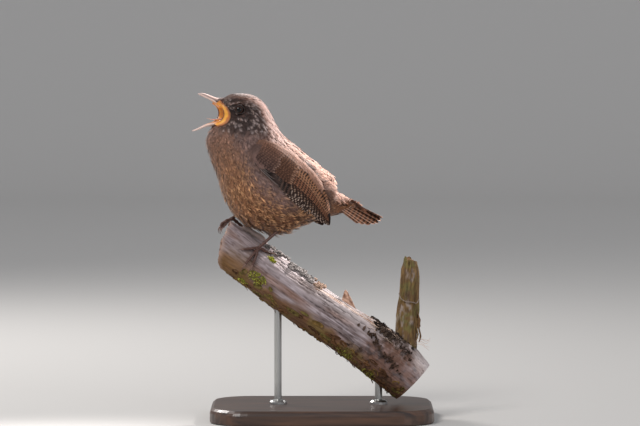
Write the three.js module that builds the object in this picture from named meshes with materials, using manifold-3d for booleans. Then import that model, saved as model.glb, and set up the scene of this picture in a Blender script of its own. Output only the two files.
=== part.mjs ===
// A singing wren, life size, perched on the broken end of a weathered branch, on a display stand.
// Millimetres, +Z up. The bird faces -X with its left side towards -Y. The origin is the middle of
// the stand's underside.
import * as THREE from 'three';
import { mergeVertices } from 'three/addons/utils/BufferGeometryUtils.js';
import Module from 'manifold-3d';

const wasm = await Module();
wasm.setup();

// ---------------------------------------------------------------- driving dimensions
const GAP = 0.3;                  // clearance between neighbouring pieces
const BODY_YAW = 12;              // degrees, the whole bird turned towards -Y
const HEAD_YAW = 6;               // degrees more at the head
const YAW_X = -27.1;              // the vertical axis of that turn
const HEAD_X = -37;
const EYE = { x: -41.7, z: 147.5, r: 2.45, depth: 1.65 };
const BASE = { w: 106, d: 74, t: 7, corner: 18, x: 0 };
const ROD = { r: 1.75, xs: [-21, 27], tops: [50, 16], foot: 4.2 };
const TARSUS_R = 0.72, TOE_R = 0.62, CLAW_R = 0.42;

// The bird's sections, from the tail coverts to the bill's root, each across one chord of the side view:
// dorsal x, z, ventral x, z, half width, and how far the widest place lies towards the back.
const SECTIONS = [
  /* covert tip    */ [16.2, 103.1, 15.2, 100.5, 1.5, 0],
  /* tail coverts  */ [11.4, 106.4, 11.0, 97.6, 4.5, 0],
  /* vent          */ [5.2, 111.2, 4.3, 95.7, 8.0, 0],
  /* rump          */ [3.1, 117.2, -3.8, 93.4, 12.0, 0],
  /* lower back    */ [-2.4, 122.4, -12.4, 90.3, 15.0, -0.05],
  /* rear belly    */ [-8.1, 127.2, -22.4, 87.9, 17.0, -0.08],
  /* belly         */ [-12.9, 131.4, -32.4, 90.7, 18.0, -0.08],
  /* mantle        */ [-16.7, 134.8, -41.0, 96.4, 18.3, -0.05],
  /* low breast    */ [-19.5, 137.6, -46.7, 104.8, 18.0, 0],
  /* breast        */ [-21.4, 140.2, -50.7, 116.7, 16.8, 0.05],
  /* upper breast  */ [-23.1, 143.3, -54.0, 127.1, 14.6, 0.1],
  /* throat        */ [-25.0, 147.0, -55.0, 133.6, 12.2, 0.18],
  /* nape          */ [-28.1, 151.2, -53.6, 137.9, 10.2, 0.25],
  /* hind crown    */ [-32.4, 154.1, -52.4, 139.8, 9.2, 0.25],
  /* crown         */ [-37.6, 155.2, -51.9, 141.7, 8.2, 0.22],
  /* forehead      */ [-42.9, 154.9, -51.7, 143.3, 6.4, 0.15],
  /* lores         */ [-46.4, 153.3, -51.2, 145.5, 4.6, 0.1],
  /* bill root     */ [-48.8, 151.7, -50.5, 148.1, 2.4, 0],
];
const CUT_NECK = 9.9, CUT_HEAD = 11.6, CUT_TAIL = 1.2;   // places along the sections

// Mandibles, each from its root to its tip: upper x, z, lower x, z, half width, widest place.
const UPPER_BILL = [
  [-47.6, 153.0, -50.0, 148.4, 3.5, -0.2],
  [-49.7, 152.9, -51.3, 150.0, 2.6, -0.2],
  [-51.9, 153.5, -53.1, 151.5, 1.95, -0.15],
  [-54.5, 154.6, -55.5, 152.7, 1.4, -0.1],
  [-56.9, 155.3, -57.6, 153.9, 0.9, 0],
  [-59.3, 155.2, -59.2, 154.7, 0.3, 0],
];
const LOWER_BILL = [
  [-49.6, 142.3, -50.9, 139.5, 3.3, 0.2],
  [-52.6, 141.7, -53.5, 139.7, 2.4, 0.2],
  [-55.0, 140.9, -55.6, 139.3, 1.75, 0.15],
  [-58.0, 139.6, -58.1, 138.3, 1.15, 0.1],
  [-60.2, 138.5, -60.2, 137.6, 0.7, 0],
  [-62.0, 137.6, -62.0, 137.1, 0.3, 0],
];
// The gape: edge of the stretched corner skin, from the upper to the lower mandible, x, z.
const GAPE = [[-51.6, 150.4], [-49.6, 149.2], [-48.4, 147.4], [-48.0, 145.4], [-48.6, 143.5], [-50.0, 142.0], [-52.4, 141.0]];
const GAPE_HALF = 4.3, GAPE_DEEP = 4.2;

// The folded wing, from the shoulder to the tip: upper edge x, z, lower edge x, z, as seen square from -Y.
const WING = [
  [-30.6, 133.2, -34.4, 128.4],
  [-22.8, 130.4, -31.2, 121.9],
  [-15.7, 126.0, -24.8, 115.2],
  [-9.0, 120.5, -17.6, 108.1],
  [-3.3, 114.3, -10.0, 101.2],
  [1.0, 106.7, -3.6, 96.0],
  [2.9, 99.2, 1.0, 93.2],
  [3.7, 93.2, 3.5, 92.0],
];

// The branch's middle line and radius, from the broken end to the sawn end.
const BRANCH = [
  [-53.5, 87.9, 10.6], [-45.5, 82.4, 10.8], [-28.6, 70.7, 10.8], [-10.5, 57.6, 10.8],
  [8.6, 44.8, 11.2], [25.2, 33.4, 11.9], [36.6, 24.0, 11.9], [43.4, 17.4, 11.4],
];

// ---------------------------------------------------------------- small helpers
const rad = THREE.MathUtils.degToRad, clamp = THREE.MathUtils.clamp, lerp = THREE.MathUtils.lerp;
const smooth = (a, b, x) => { const t = clamp((x - a) / (b - a), 0, 1); return t * t * (3 - 2 * t); };
const wave = (x, y, z) => Math.sin(1.7 * x + 0.6) * Math.sin(1.3 * y + 2.1) * Math.sin(1.9 * z + 4.2);

function rowAt(rows, t) {                      // Catmull-Rom through every column of a table
  const n = rows.length - 1, i = clamp(Math.floor(t), 0, n - 1), f = t - i;
  const p0 = rows[Math.max(i - 1, 0)], p1 = rows[i], p2 = rows[i + 1], p3 = rows[Math.min(i + 2, n)];
  return p1.map((_, k) => 0.5 * (2 * p1[k] + (p2[k] - p0[k]) * f
    + (2 * p0[k] - 5 * p1[k] + 4 * p2[k] - p3[k]) * f * f + (3 * p1[k] - p0[k] - 3 * p2[k] + p3[k]) * f * f * f));
}

function turn(p) {                             // from the bird's own frame to the part's frame
  const h = rad(HEAD_YAW) * smooth(127, 142, p.z);
  let x = (p.x - HEAD_X), y = p.y;
  [x, y] = [x * Math.cos(h) - y * Math.sin(h) + HEAD_X, x * Math.sin(h) + y * Math.cos(h)];
  const a = rad(BODY_YAW), dx = (x - YAW_X) / Math.cos(a);
  return new THREE.Vector3(YAW_X + dx * Math.cos(a) - y * Math.sin(a), dx * Math.sin(a) + y * Math.cos(a), p.z);
}

function surface(rings, capA = true, capB = true) {   // a closed skin through rings of equal length
  const pos = [], idx = [], n = rings[0].length;
  rings.forEach((r) => r.forEach((p) => pos.push(p.x, p.y, p.z)));
  for (let i = 0; i + 1 < rings.length; i++) for (let j = 0; j < n; j++) {
    const a = i * n + j, b = i * n + (j + 1) % n, c = a + n, d = b + n;
    idx.push(a, b, d, a, d, c);
  }
  for (const [on, ring, flip] of [[capA, 0, true], [capB, rings.length - 1, false]]) {
    if (!on) continue;
    const m = rings[ring].reduce((s, p) => s.add(p), new THREE.Vector3()).multiplyScalar(1 / n), k = pos.length / 3;
    pos.push(m.x, m.y, m.z);
    for (let j = 0; j < n; j++) {
      const a = ring * n + j, b = ring * n + (j + 1) % n;
      flip ? idx.push(b, a, k) : idx.push(a, b, k);
    }
  }
  const g = new THREE.BufferGeometry();
  g.setAttribute('position', new THREE.Float32BufferAttribute(pos, 3));
  g.setIndex(idx);
  return g;
}

function solid(g) {
  let q = g.index ? g.clone() : g;
  q.deleteAttribute('normal');
  q.deleteAttribute('uv');
  q = mergeVertices(q, 1e-4);
  const made = (tris) => new wasm.Manifold(new wasm.Mesh({ numProp: 3, vertProperties: new Float32Array(q.attributes.position.array), triVerts: tris }));
  const tris = new Uint32Array(q.index.array);
  let m = made(tris);
  if (m.volume() < 0) {
    for (let i = 0; i < tris.length; i += 3) [tris[i + 1], tris[i + 2]] = [tris[i + 2], tris[i + 1]];
    m = made(tris);
  }
  return m;
}

function swell(g, by) {                         // the same skin pushed outwards all round
  let q = g.clone();
  q.deleteAttribute('normal');
  q.deleteAttribute('uv');
  q = mergeVertices(q, 1e-4);
  q.computeVertexNormals();
  const flip = volume(q) < 0 ? -1 : 1, p = q.attributes.position, n = q.attributes.normal;
  for (let i = 0; i < p.count; i++) p.setXYZ(i, p.getX(i) + flip * by * n.getX(i), p.getY(i) + flip * by * n.getY(i), p.getZ(i) + flip * by * n.getZ(i));
  return q;
}
function volume(g) {
  const p = g.attributes.position, ix = g.index.array, [a, b, c] = [0, 1, 2].map(() => new THREE.Vector3());
  let v = 0;
  for (let i = 0; i < ix.length; i += 3) v += a.fromBufferAttribute(p, ix[i]).dot(b.fromBufferAttribute(p, ix[i + 1]).cross(c.fromBufferAttribute(p, ix[i + 2]))) / 6;
  return v;
}

function geometry(m) {
  const mesh = m.getMesh(), n = mesh.numProp, pos = new Float32Array(mesh.numVert * 3);
  for (let i = 0; i < mesh.numVert; i++) pos.set(mesh.vertProperties.subarray(i * n, i * n + 3), i * 3);
  const g = new THREE.BufferGeometry();
  g.setAttribute('position', new THREE.BufferAttribute(pos, 3));
  g.setIndex(new THREE.BufferAttribute(new Uint32Array(mesh.triVerts), 1));
  return g;
}
const join = (list) => list.reduce((a, b) => a.add(b));
const largest = (m) => m.decompose().sort((a, b) => b.volume() - a.volume())[0];

// A loft across chords of the side view. grow thickens it all round.
function loft(rows, t0, t1, steps, around, { grow = 0, inset0 = 0, inset1 = 0, warp = turn } = {}) {
  const rings = [];
  for (let i = 0; i <= steps; i++) {
    const t = lerp(t0, t1, i / steps), [dx, dz, vx, vz, w, m] = rowAt(rows, t);
    const mid = new THREE.Vector2((dx + vx) / 2, (dz + vz) / 2), half = new THREE.Vector2(dx - vx, dz - vz).multiplyScalar(0.5);
    const h = half.length() + grow, dir = half.clone().normalize();
    const shift = (i === 0 ? inset0 : 0) - (i === steps ? inset1 : 0);
    const nx = -dir.y * shift, nz = dir.x * shift, ring = [];
    for (let j = 0; j < around; j++) {
      const a = (j / around) * 2 * Math.PI, c = Math.cos(a), s = Math.sin(a);
      ring.push(warp(new THREE.Vector3(mid.x + dir.x * h * c + nx, (w + grow) * s * (1 + m * c), mid.y + dir.y * h * c + nz)));
    }
    rings.push(ring);
  }
  return surface(rings);
}

// The body's half width at a place of the side view, or null outside it.
function halfWidth(x, z) {
  let lo = 0.5, hi = SECTIONS.length - 1.5;
  const side = (t) => { const [a, b, c, d] = rowAt(SECTIONS, t); return (a - c) * (z - d) - (b - d) * (x - c); };
  const sLo = side(lo);
  if (sLo * side(hi) > 0) return null;
  for (let k = 0; k < 30; k++) { const mid = (lo + hi) / 2; if (side(mid) * sLo > 0) lo = mid; else hi = mid; }
  const [a, b, c, d, w, m] = rowAt(SECTIONS, lo);
  const f = 2 * ((x - c) * (a - c) + (z - d) * (b - d)) / ((a - c) ** 2 + (b - d) ** 2) - 1;
  return Math.abs(f) < 1 ? w * Math.sqrt(1 - f * f) * (1 + m * f) : null;
}

// A round tube along points, with a radius at each place from 0 to 1.
function tube(points, radius, steps, around, flat = 1, up = new THREE.Vector3(0, 0, 1)) {
  const curve = new THREE.CatmullRomCurve3(points, false, 'centripetal'), rings = [];
  for (let i = 0; i <= steps; i++) {
    const t = i / steps, p = curve.getPoint(t), d = curve.getTangent(t).normalize();
    const a = new THREE.Vector3().crossVectors(d, up).normalize(), b = new THREE.Vector3().crossVectors(a, d).normalize();
    const r = radius(t), ring = [];
    for (let j = 0; j < around; j++) {
      const q = (j / around) * 2 * Math.PI;
      ring.push(p.clone().addScaledVector(a, r * Math.cos(q)).addScaledVector(b, r * flat * Math.sin(q)));
    }
    rings.push(ring);
  }
  return surface(rings);
}

// ---------------------------------------------------------------- the branch
const branchLength = BRANCH.length - 1;
function branchFrame(t) {
  const [x, z, r] = rowAt(BRANCH, clamp(t, 0, branchLength)), [x2, z2] = rowAt(BRANCH, clamp(t + 0.01, 0, branchLength)), [x1, z1] = rowAt(BRANCH, clamp(t - 0.01, 0, branchLength));
  const d = new THREE.Vector3(x2 - x1, 0, z2 - z1).normalize();
  return { p: new THREE.Vector3(x, 0, z), r, d, up: new THREE.Vector3(-d.z, 0, d.x) };
}
function branchPoint(t, deg, lift = 0) {       // deg 0 is the upper side, 90 the side towards -Y
  const { p, r, up } = branchFrame(t), a = rad(deg);
  const uneven = 0.35 * Math.sin(3 * a + 1.3 * t) + 0.28 * Math.sin(2 * a - 2.1 * t + 1) + 0.2 * Math.sin(5 * a + 0.9 * t);
  return p.clone().addScaledVector(up, (r + uneven + lift) * Math.cos(a)).add(new THREE.Vector3(0, -(r + uneven + lift) * Math.sin(a), 0));
}
function branchSolid(grow = 0) {
  const around = 16, steps = 12, rings = [];
  for (let i = 0; i <= steps; i++) {
    const t = lerp(0, branchLength, i / steps), ring = [];
    for (let j = 0; j < around; j++) ring.push(branchPoint(t, (j / around) * 360, grow));
    rings.push(ring);
  }
  let wood = solid(surface(rings));
  // The broken end: a steep, ragged face, deeper in a crevice at its upper corner.
  const rag = [];
  const n = 5;
  const face = (v, w) => -47.75 + 0.22 * v + 0.0135 * v * v + 0.45 * Math.sin(1.1 * w + 0.7 * v) - 0.012 * w * w - grow;
  const outer = [], inner = [];
  for (let i = 0; i <= n; i++) for (let j = 0; j <= n; j++) {
    const v = lerp(-17, 17, i / n), w = lerp(-17, 17, j / n);
    inner.push([face(v, w), w, 82.4 + v]);
  }
  const pos = [], idx = [], at = (i, j, k) => (i * (n + 1) + j) + k * (n + 1) ** 2;
  inner.forEach(([x, y, z]) => pos.push(x, y, z));
  inner.forEach(([, y, z]) => pos.push(-80, y, z));
  for (let i = 0; i < n; i++) for (let j = 0; j < n; j++) {
    idx.push(at(i, j, 0), at(i, j + 1, 0), at(i + 1, j + 1, 0), at(i, j, 0), at(i + 1, j + 1, 0), at(i + 1, j, 0));
    idx.push(at(i, j, 1), at(i + 1, j + 1, 1), at(i, j + 1, 1), at(i, j, 1), at(i + 1, j, 1), at(i + 1, j + 1, 1));
  }
  for (let i = 0; i < n; i++) {
    for (const [a, b] of [[[i, 0], [i + 1, 0]], [[i + 1, n], [i, n]], [[0, i + 1], [0, i]], [[n, i], [n, i + 1]]]) {
      idx.push(at(a[0], a[1], 0), at(b[0], b[1], 0), at(b[0], b[1], 1), at(a[0], a[1], 0), at(b[0], b[1], 1), at(a[0], a[1], 1));
    }
  }
  const g = new THREE.BufferGeometry();
  g.setAttribute('position', new THREE.Float32BufferAttribute(pos, 3));
  g.setIndex(idx);
  wood = wood.subtract(solid(g));
  // The dead side shoot, broken off at its top.
  const shoot = tube([[39.0, 0, 27], [40.3, 0, 40], [41.3, 0.2, 56], [41.9, 0.3, 70.5], [42.0, 0.3, 76.2]].map((q) => new THREE.Vector3(...q)),
    (t) => (5.4 - 0.9 * smooth(0.1, 0.75, t) - 1.3 * smooth(0.62, 0.95, t) - 1.5 * smooth(0.93, 1, t)) + 0.15 * Math.sin(19 * t) + grow, 9, 10, 0.92, new THREE.Vector3(0, 1, 0));
  wood = wood.add(solid(shoot));
  // A raised splinter, and the swollen collar under the side shoot.
  const splinter = solid(surface([[9.2, 17.8, 55.5, 49.8, 0.9], [9.9, 15.5, 58.0, 55.2, 0.8], [10.6, 13.2, 60.2, 59.0, 0.6], [11.0, 11.9, 62.2, 61.9, 0.35]].map(([x0, x1, z0, z1, y]) =>
    [[x0, y], [x0, -y], [x1, -y], [x1, y]].map(([x, yy], k) => new THREE.Vector3(x, yy * (1 + grow), (k < 2 ? z0 : z1))))));
  wood = wood.add(splinter);
  const lump = (x, y, z, a, b, c) => {
    const s = new THREE.IcosahedronGeometry(1, 1), q = s.attributes.position;
    for (let i = 0; i < q.count; i++) {
      const v = new THREE.Vector3().fromBufferAttribute(q, i);
      const k = 1 + 0.13 * Math.sin(5 * v.x + 3 * v.z) * Math.sin(4 * v.y + x);
      q.setXYZ(i, v.x * (a + grow) * k, v.y * (b + grow) * k, v.z * (c + grow) * k);
    }
    s.applyMatrix4(new THREE.Matrix4().makeRotationY(rad(35)).setPosition(x, y, z));
    return solid(s);
  };
  wood = join([wood, lump(37.5, 0, 31.5, 9.5, 8.2, 7.2), lump(-20.2, -1.2, 77.2, 3.6, 3.4, 1.9), lump(-11.5, 0.6, 70.2, 4.9, 3.6, 1.7), lump(-6.6, 1.4, 66.3, 2.8, 2.8, 1.5)]);
  return wood;
}
const branch = largest(branchSolid());
const branchRoom = branchSolid(GAP);

// ---------------------------------------------------------------- wings
const flank = (X, z) => {                      // the place on the near side that is seen at X
  let x = X, y = 8;
  for (let k = 0; k < 6; k++) { y = halfWidth(x, z) ?? y; x = X - y * Math.sin(rad(BODY_YAW)); }
  return x;
};
const wingRows = WING.map(([uX, uz, lX, lz], i) => {
  const ux = flank(uX, uz), lx = flank(lX, lz);
  const tip = [null, null, null, null, null, null, [8.4, 8.2], [7.2, 7.2]][i];
  const yu = tip ? tip[0] : (halfWidth(ux, uz) ?? 7), yl = tip ? tip[1] : (halfWidth(lx, lz) ?? 9);
  const mid = tip ? (yu + yl) / 2 : (halfWidth((ux + lx) / 2, (uz + lz) / 2) ?? (yu + yl) / 2);
  return [ux, uz, lx, lz, yu, yl, mid - (yu + yl) / 2];
});
function wingPoint(s, t, lift) {               // s from shoulder to tip, t from the upper to the lower edge
  const at = (a, b) => {
    const [ux, uz, lx, lz, yu, yl, bulge] = rowAt(wingRows, clamp(a, 0, 1) * (wingRows.length - 1));
    return new THREE.Vector3(lerp(ux, lx, b), lerp(yu, yl, b) + bulge * 4 * b * (1 - b), lerp(uz, lz, b));
  };
  const p = at(s, t), e = 0.01;
  const n = new THREE.Vector3().crossVectors(at(s + e, t).sub(at(s - e, t)), at(s, t + e).sub(at(s, t - e))).normalize();
  if (n.y < 0) n.negate();
  return p.addScaledVector(n, lift);
}
function wingSkin(side) {
  const ns = 10, nt = 7, droop = side > 0 ? 0.8 : 0, rings = [];
  const place = (s, t, lift) => { const p = wingPoint(s, t, lift); p.z -= droop * smooth(0.3, 1, s); return turn(new THREE.Vector3(p.x, p.y * side, p.z)); };
  for (let i = 0; i <= ns; i++) {
    const f = i / ns, round = Math.sqrt(clamp(f / 0.08, 0.15, 1)), out = 1.15 * round * lerp(1, 0.5, f), inn = -0.75 * lerp(1, 0.4, f), ring = [];
    const feather = (j) => (j % 2) * 0.25 * smooth(0.3, 0.5, f) * (1 - smooth(0.9, 1, f));
    for (let j = 0; j <= nt; j++) ring.push(place(f, j / nt, out * (0.4 + 0.6 * Math.sin(Math.PI * clamp(j / nt, 0.03, 0.97)) ** 0.4) + feather(j)));
    for (let j = nt; j >= 0; j--) ring.push(place(f, j / nt, inn));
    rings.push(ring);
  }
  return surface(rings);
}
const wingSkins = { left: wingSkin(-1), right: wingSkin(1) };
const wings = { left: solid(wingSkins.left), right: solid(wingSkins.right) };
const wingRooms = { left: solid(swell(wingSkins.left, GAP * 1.3)), right: solid(swell(wingSkins.right, GAP * 1.3)) };

// ---------------------------------------------------------------- tail
// Six pairs of rectrices, the middle pair on top and longest, the outer ones stepped down and shorter.
const TAIL = { root: [5.0, 106.3], length: 26.8, width: 4.6, pitch: -23.6 };
function rectrix(pair, side, grow = 0) {
  const spread = rad(side * (1.0 + 1.5 * pair)), pitch = rad(TAIL.pitch - 2.1 * pair), long = TAIL.length - 0.3 * pair - 0.28 * pair * pair;
  const d = new THREE.Vector3(Math.cos(pitch) * Math.cos(spread), Math.sin(spread), Math.sin(pitch));
  const across = new THREE.Vector3(-Math.sin(spread), Math.cos(spread), 0).applyAxisAngle(d, rad(side * (-10 - 9 * pair)));
  const n = new THREE.Vector3().crossVectors(d, across).normalize();
  const root = new THREE.Vector3(TAIL.root[0], side * 0.5 * pair, TAIL.root[1] - 0.62 * pair);
  const rings = [];
  for (let i = 0; i <= 3; i++) {
    const f = [0.1, 0.6, 0.9, 1][i], w = (TAIL.width / 2) * (0.45 + 0.55 * smooth(0, 0.35, f)) * Math.sqrt(1 - clamp((f - 0.8) / 0.205, 0, 1) ** 2) + 0.15, h = lerp(0.42, 0.27, f) + grow;
    const p = root.clone().addScaledVector(d, long * f).addScaledVector(n, -0.5 * f * f);
    rings.push([[w + grow, 0], [0, h], [-w - grow, 0], [0, -h]].map(([a, b]) => turn(p.clone().addScaledVector(across, a).addScaledVector(n, b))));
  }
  return solid(surface(rings));
}
const rectrices = [];
for (let pair = 0; pair < 6; pair++) for (const side of [-1, 1]) rectrices.push(rectrix(pair, side));
const coverts = solid(loft(SECTIONS, 0, CUT_TAIL, 4, 16, { inset1: GAP / 2 }));
const rumpRoom = solid(loft(SECTIONS, CUT_TAIL, 5, 6, 16, { grow: 1.5, inset0: -GAP / 2 }));
let tail = join([...rectrices, coverts]).subtract(rumpRoom).subtract(wingRooms.left).subtract(wingRooms.right);
tail = largest(tail);

// ---------------------------------------------------------------- bill, gape, tongue and eyes
const upperBill = solid(loft(UPPER_BILL, 0, 5, 8, 10));
const lowerBill = solid(loft(LOWER_BILL, 0, 5, 8, 10));
const billRoom = solid(loft(UPPER_BILL, 0, 5, 8, 10, { grow: GAP })).add(solid(loft(LOWER_BILL, 0, 5, 8, 10, { grow: GAP })));
// The open mouth: a pocket whose rear wall is deepest in the middle.
function mouth(front = -70) {
  const rings = [];
  const across = 10, n = 9;
  const half = 14;
  for (let j = 0; j <= across; j++) {
    const f = lerp(-1, 1, j / across), y = f * half, inside = clamp(1 - Math.abs(y) / (GAPE_HALF + 0.4), 0, 1);
    const deep = GAPE_DEEP * smooth(0, 0.55, inside), ring = [];
    for (let i = 0; i <= n; i++) {
      const [x, z] = rowAt(GAPE, (i / n) * (GAPE.length - 1));
      const s = i / n, k = Math.sin(Math.PI * s);
      ring.push(turn(new THREE.Vector3(x + deep * k * 0.9, y, z - deep * 0.35 * k * k)));
    }
    ring.push(turn(new THREE.Vector3(front, y, 137.8)), turn(new THREE.Vector3(front, y, 157.5)));
    rings.push(ring);
  }
  return solid(surface(rings));
}
const pocket = mouth();
// The orange corner skin: a thin lip along the gape, with a gap to the head behind it.
const LIP = [[-42.4, 151.6, -51.4, 138.6, 6.1, 0.1], [-44.0, 151.2, -50.6, 140.2, 6.0, 0.1], [-47.5, 151.6, -49.6, 142.5, 5.4, 0], [-50.6, 151.4, -51.6, 141.5, 4.4, 0], [-52.2, 150.9, -53.0, 142.0, 3.4, 0]];
const lip = (options) => solid(loft(LIP, 0, 4, 5, 12, options));
const lipOuter = lip(), lipRoom = lip({ grow: GAP }).add(lip({ grow: GAP, inset0: -GAP }));
const eyeAt = (side) => { const w = halfWidth(EYE.x, EYE.z); return turn(new THREE.Vector3(EYE.x, side * (w - EYE.depth), EYE.z)); };
const ball = (p, r, a = 12, b = 8) => solid(new THREE.SphereGeometry(r, a, b).rotateX(Math.PI / 2).translate(p.x, p.y, p.z));
const eyes = { left: ball(eyeAt(-1), EYE.r), right: ball(eyeAt(1), EYE.r) };
const eyeRooms = ball(eyeAt(-1), EYE.r + GAP).add(ball(eyeAt(1), EYE.r + GAP));
const tongueAt = [[-47.2, 0, 143.0], [-49.6, 0, 142.9], [-51.7, 0, 142.8], [-53.4, 0, 142.9], [-54.9, 0, 143.4]].map((q) => turn(new THREE.Vector3(...q)));
const tongue = solid(tube(tongueAt, (t) => lerp(1.0, 0.35, t), 5, 8, 0.5));
const tongueRoom = solid(tube(tongueAt, (t) => lerp(1.0, 0.35, t) + GAP * 1.1, 5, 8, 0.8));

// ---------------------------------------------------------------- legs and feet
// Each foot is set on the branch: its joint, heel, and for each toe the branch place it reaches and its claw's end.
const FEET = {
  left: {
    joint: [1.65, 45, 1.5], heel: [-17.4, -7.0, 93.0], hip: [-14.8, -5.6, 97.0],
    toes: [
      { to: [1.40, 70], claw: [1.29, 78] },
      { to: [1.62, 95], claw: [1.62, 114] },
      { to: [1.76, 89], claw: [1.77, 106] },
      { to: [1.95, 27], claw: [2.12, 20] },
    ],
  },
  right: {
    heel: [-31.0, 7.6, 106.8], hip: [-29.4, 7.6, 108.6],
  },
};
const vec = (q) => new THREE.Vector3(...q);
function onBranch([t, deg, lift = TOE_R + GAP + 0.12]) { return branchPoint(t, deg, lift); }
function leftToePath(toe) {
  const a = FEET.left.joint, pts = [];
  for (let i = 0; i <= 4; i++) {
    const f = i / 4, hump = 0.55 * Math.sin(Math.PI * f) * (1 - f);
    pts.push(branchPoint(lerp(a[0], toe.to[0], f), lerp(a[1], toe.to[1], f), lerp(a[2], TOE_R + GAP + 0.1, smooth(0, 0.6, f)) + hump));
  }
  return pts;
}
// The far foot holds the rim of the broken end, with two toes bent over it.
const rim = new THREE.Vector3(-42.7, 3.4, 95.4);
const RIGHT_TOES = [
  [[0, 0, 0], [-2.6, -0.9, -1.0], [-4.7, -1.5, -2.2], [-5.7, -1.9, -3.6]],
  [[0, 0, 0], [-2.3, 1.2, -1.1], [-4.5, 2.4, -2.6], [-5.4, 2.9, -4.4]],
  [[0, 0, 0], [-1.5, 2.4, -1.2], [-3.2, 4.8, -2.6], [-4.6, 6.6, -4.4]],
  [[0, 0, 0], [1.6, 1.1, -1.4], [3.2, 2.2, -2.9], [5.0, 3.2, -4.2]],
];
const RIGHT_CLAWS = [
  [[-6.0, -2.0, -4.1], [-6.6, -2.2, -5.4], [-6.5, -2.3, -7.0]],
  [[-5.6, 3.0, -4.9], [-6.0, 3.2, -6.2], [-5.7, 3.2, -7.6]],
  [[-4.85, 6.9, -4.8], [-5.4, 7.4, -6.0], [-5.3, 7.6, -7.4]],
  [[5.35, 3.4, -4.5], [6.4, 4.0, -5.4], [7.2, 4.5, -6.4]],
];
const toeRadius = (t) => TOE_R * (1.1 - 0.28 * t + 0.07 * Math.sin(t * 19));
const feet = {}, legs = {}, claws = {}, legRooms = {}, footRooms = {};
{
  const joint = branchPoint(...FEET.left.joint);
  const toes = FEET.left.toes.map((t) => solid(tube(leftToePath(t), toeRadius, 5, 6)));
  feet.left = join([...toes, ball(joint, 1.02, 8, 6)]);
  footRooms.left = join([ball(joint, 1.02 + GAP, 8, 6), ...FEET.left.toes.map((t) => solid(tube(leftToePath(t), (q) => toeRadius(q) + GAP, 5, 6)))]);
  const shank = (r, grow) => solid(tube([joint, vec(FEET.left.heel), vec(FEET.left.hip)], (t) => (t < 0.06 ? r * 1.15 : r) + 0.35 * smooth(0.72, 0.95, t) + grow, 6, 8));
  legs.left = shank(TARSUS_R, 0);
  legRooms.left = shank(TARSUS_R, GAP);
  claws.left = FEET.left.toes.map((t) => {
    const pts = leftToePath(t), end = pts[pts.length - 1], before = pts[pts.length - 2], d = end.clone().sub(before).normalize();
    const start = end.clone().addScaledVector(d, GAP + 0.1), far = branchPoint(t.claw[0], t.claw[1], CLAW_R + 0.32);
    const mid = start.clone().lerp(far, 0.5).add(branchPoint(t.claw[0], t.claw[1], 4).sub(far).normalize().multiplyScalar(0.55));
    return solid(tube([start, mid, far], (q) => lerp(CLAW_R * 1.15, 0.26, q), 4, 6));
  });
}
{
  const joint = rim.clone();
  const at = (q) => vec(q).add(joint);
  feet.right = join([...RIGHT_TOES.map((t) => solid(tube(t.map(at), toeRadius, 5, 6))), ball(joint, 1.02, 8, 6)]);
  footRooms.right = join([ball(joint, 1.02 + GAP, 8, 6), ...RIGHT_TOES.map((t) => solid(tube(t.map(at), (q) => toeRadius(q) + GAP, 5, 6)))]);
  const shank = (r, grow) => solid(tube([joint, vec(FEET.right.heel), vec(FEET.right.hip)], (t) => (t < 0.06 ? r * 1.15 : r) + 0.35 * smooth(0.72, 0.95, t) + grow, 6, 8));
  legs.right = shank(TARSUS_R, 0);
  legRooms.right = shank(TARSUS_R, GAP);
  claws.right = RIGHT_CLAWS.map((c) => solid(tube(c.map(at), (q) => lerp(CLAW_R * 1.15, 0.26, q), 4, 6)));
}
const ballRoom = { left: ball(branchPoint(...FEET.left.joint), 1.02 + GAP, 8, 6), right: ball(rim, 1.02 + GAP, 8, 6) };

// ---------------------------------------------------------------- head, neck and trunk
let head = solid(loft(SECTIONS, CUT_HEAD, SECTIONS.length - 1, 8, 18, { inset0: GAP / 2 }));
head = largest(head.subtract(pocket).subtract(eyeRooms).subtract(billRoom).subtract(lipRoom));
const neck = solid(loft(SECTIONS, CUT_NECK, CUT_HEAD, 3, 18, { inset0: GAP / 2, inset1: GAP / 2 }));
let trunk = solid(loft(SECTIONS, CUT_TAIL, CUT_NECK, 12, 20, { inset0: GAP / 2, inset1: GAP / 2 }));
trunk = join([trunk]).subtract(wingRooms.left).subtract(wingRooms.right).subtract(legRooms.left).subtract(legRooms.right);
trunk = largest(trunk.subtract(branchRoom).subtract(footRooms.right).subtract(footRooms.left));
const neckPart = largest(neck.subtract(wingRooms.left).subtract(wingRooms.right));
let gape = largest(lipOuter.subtract(pocket).subtract(billRoom).subtract(eyeRooms));
const tonguePart = largest(tongue.subtract(solid(loft(LOWER_BILL, 0, 5, 8, 10, { grow: GAP }))));
gape = largest(gape.subtract(tongueRoom));
head = largest(head.subtract(tongueRoom).subtract(gape));

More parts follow.
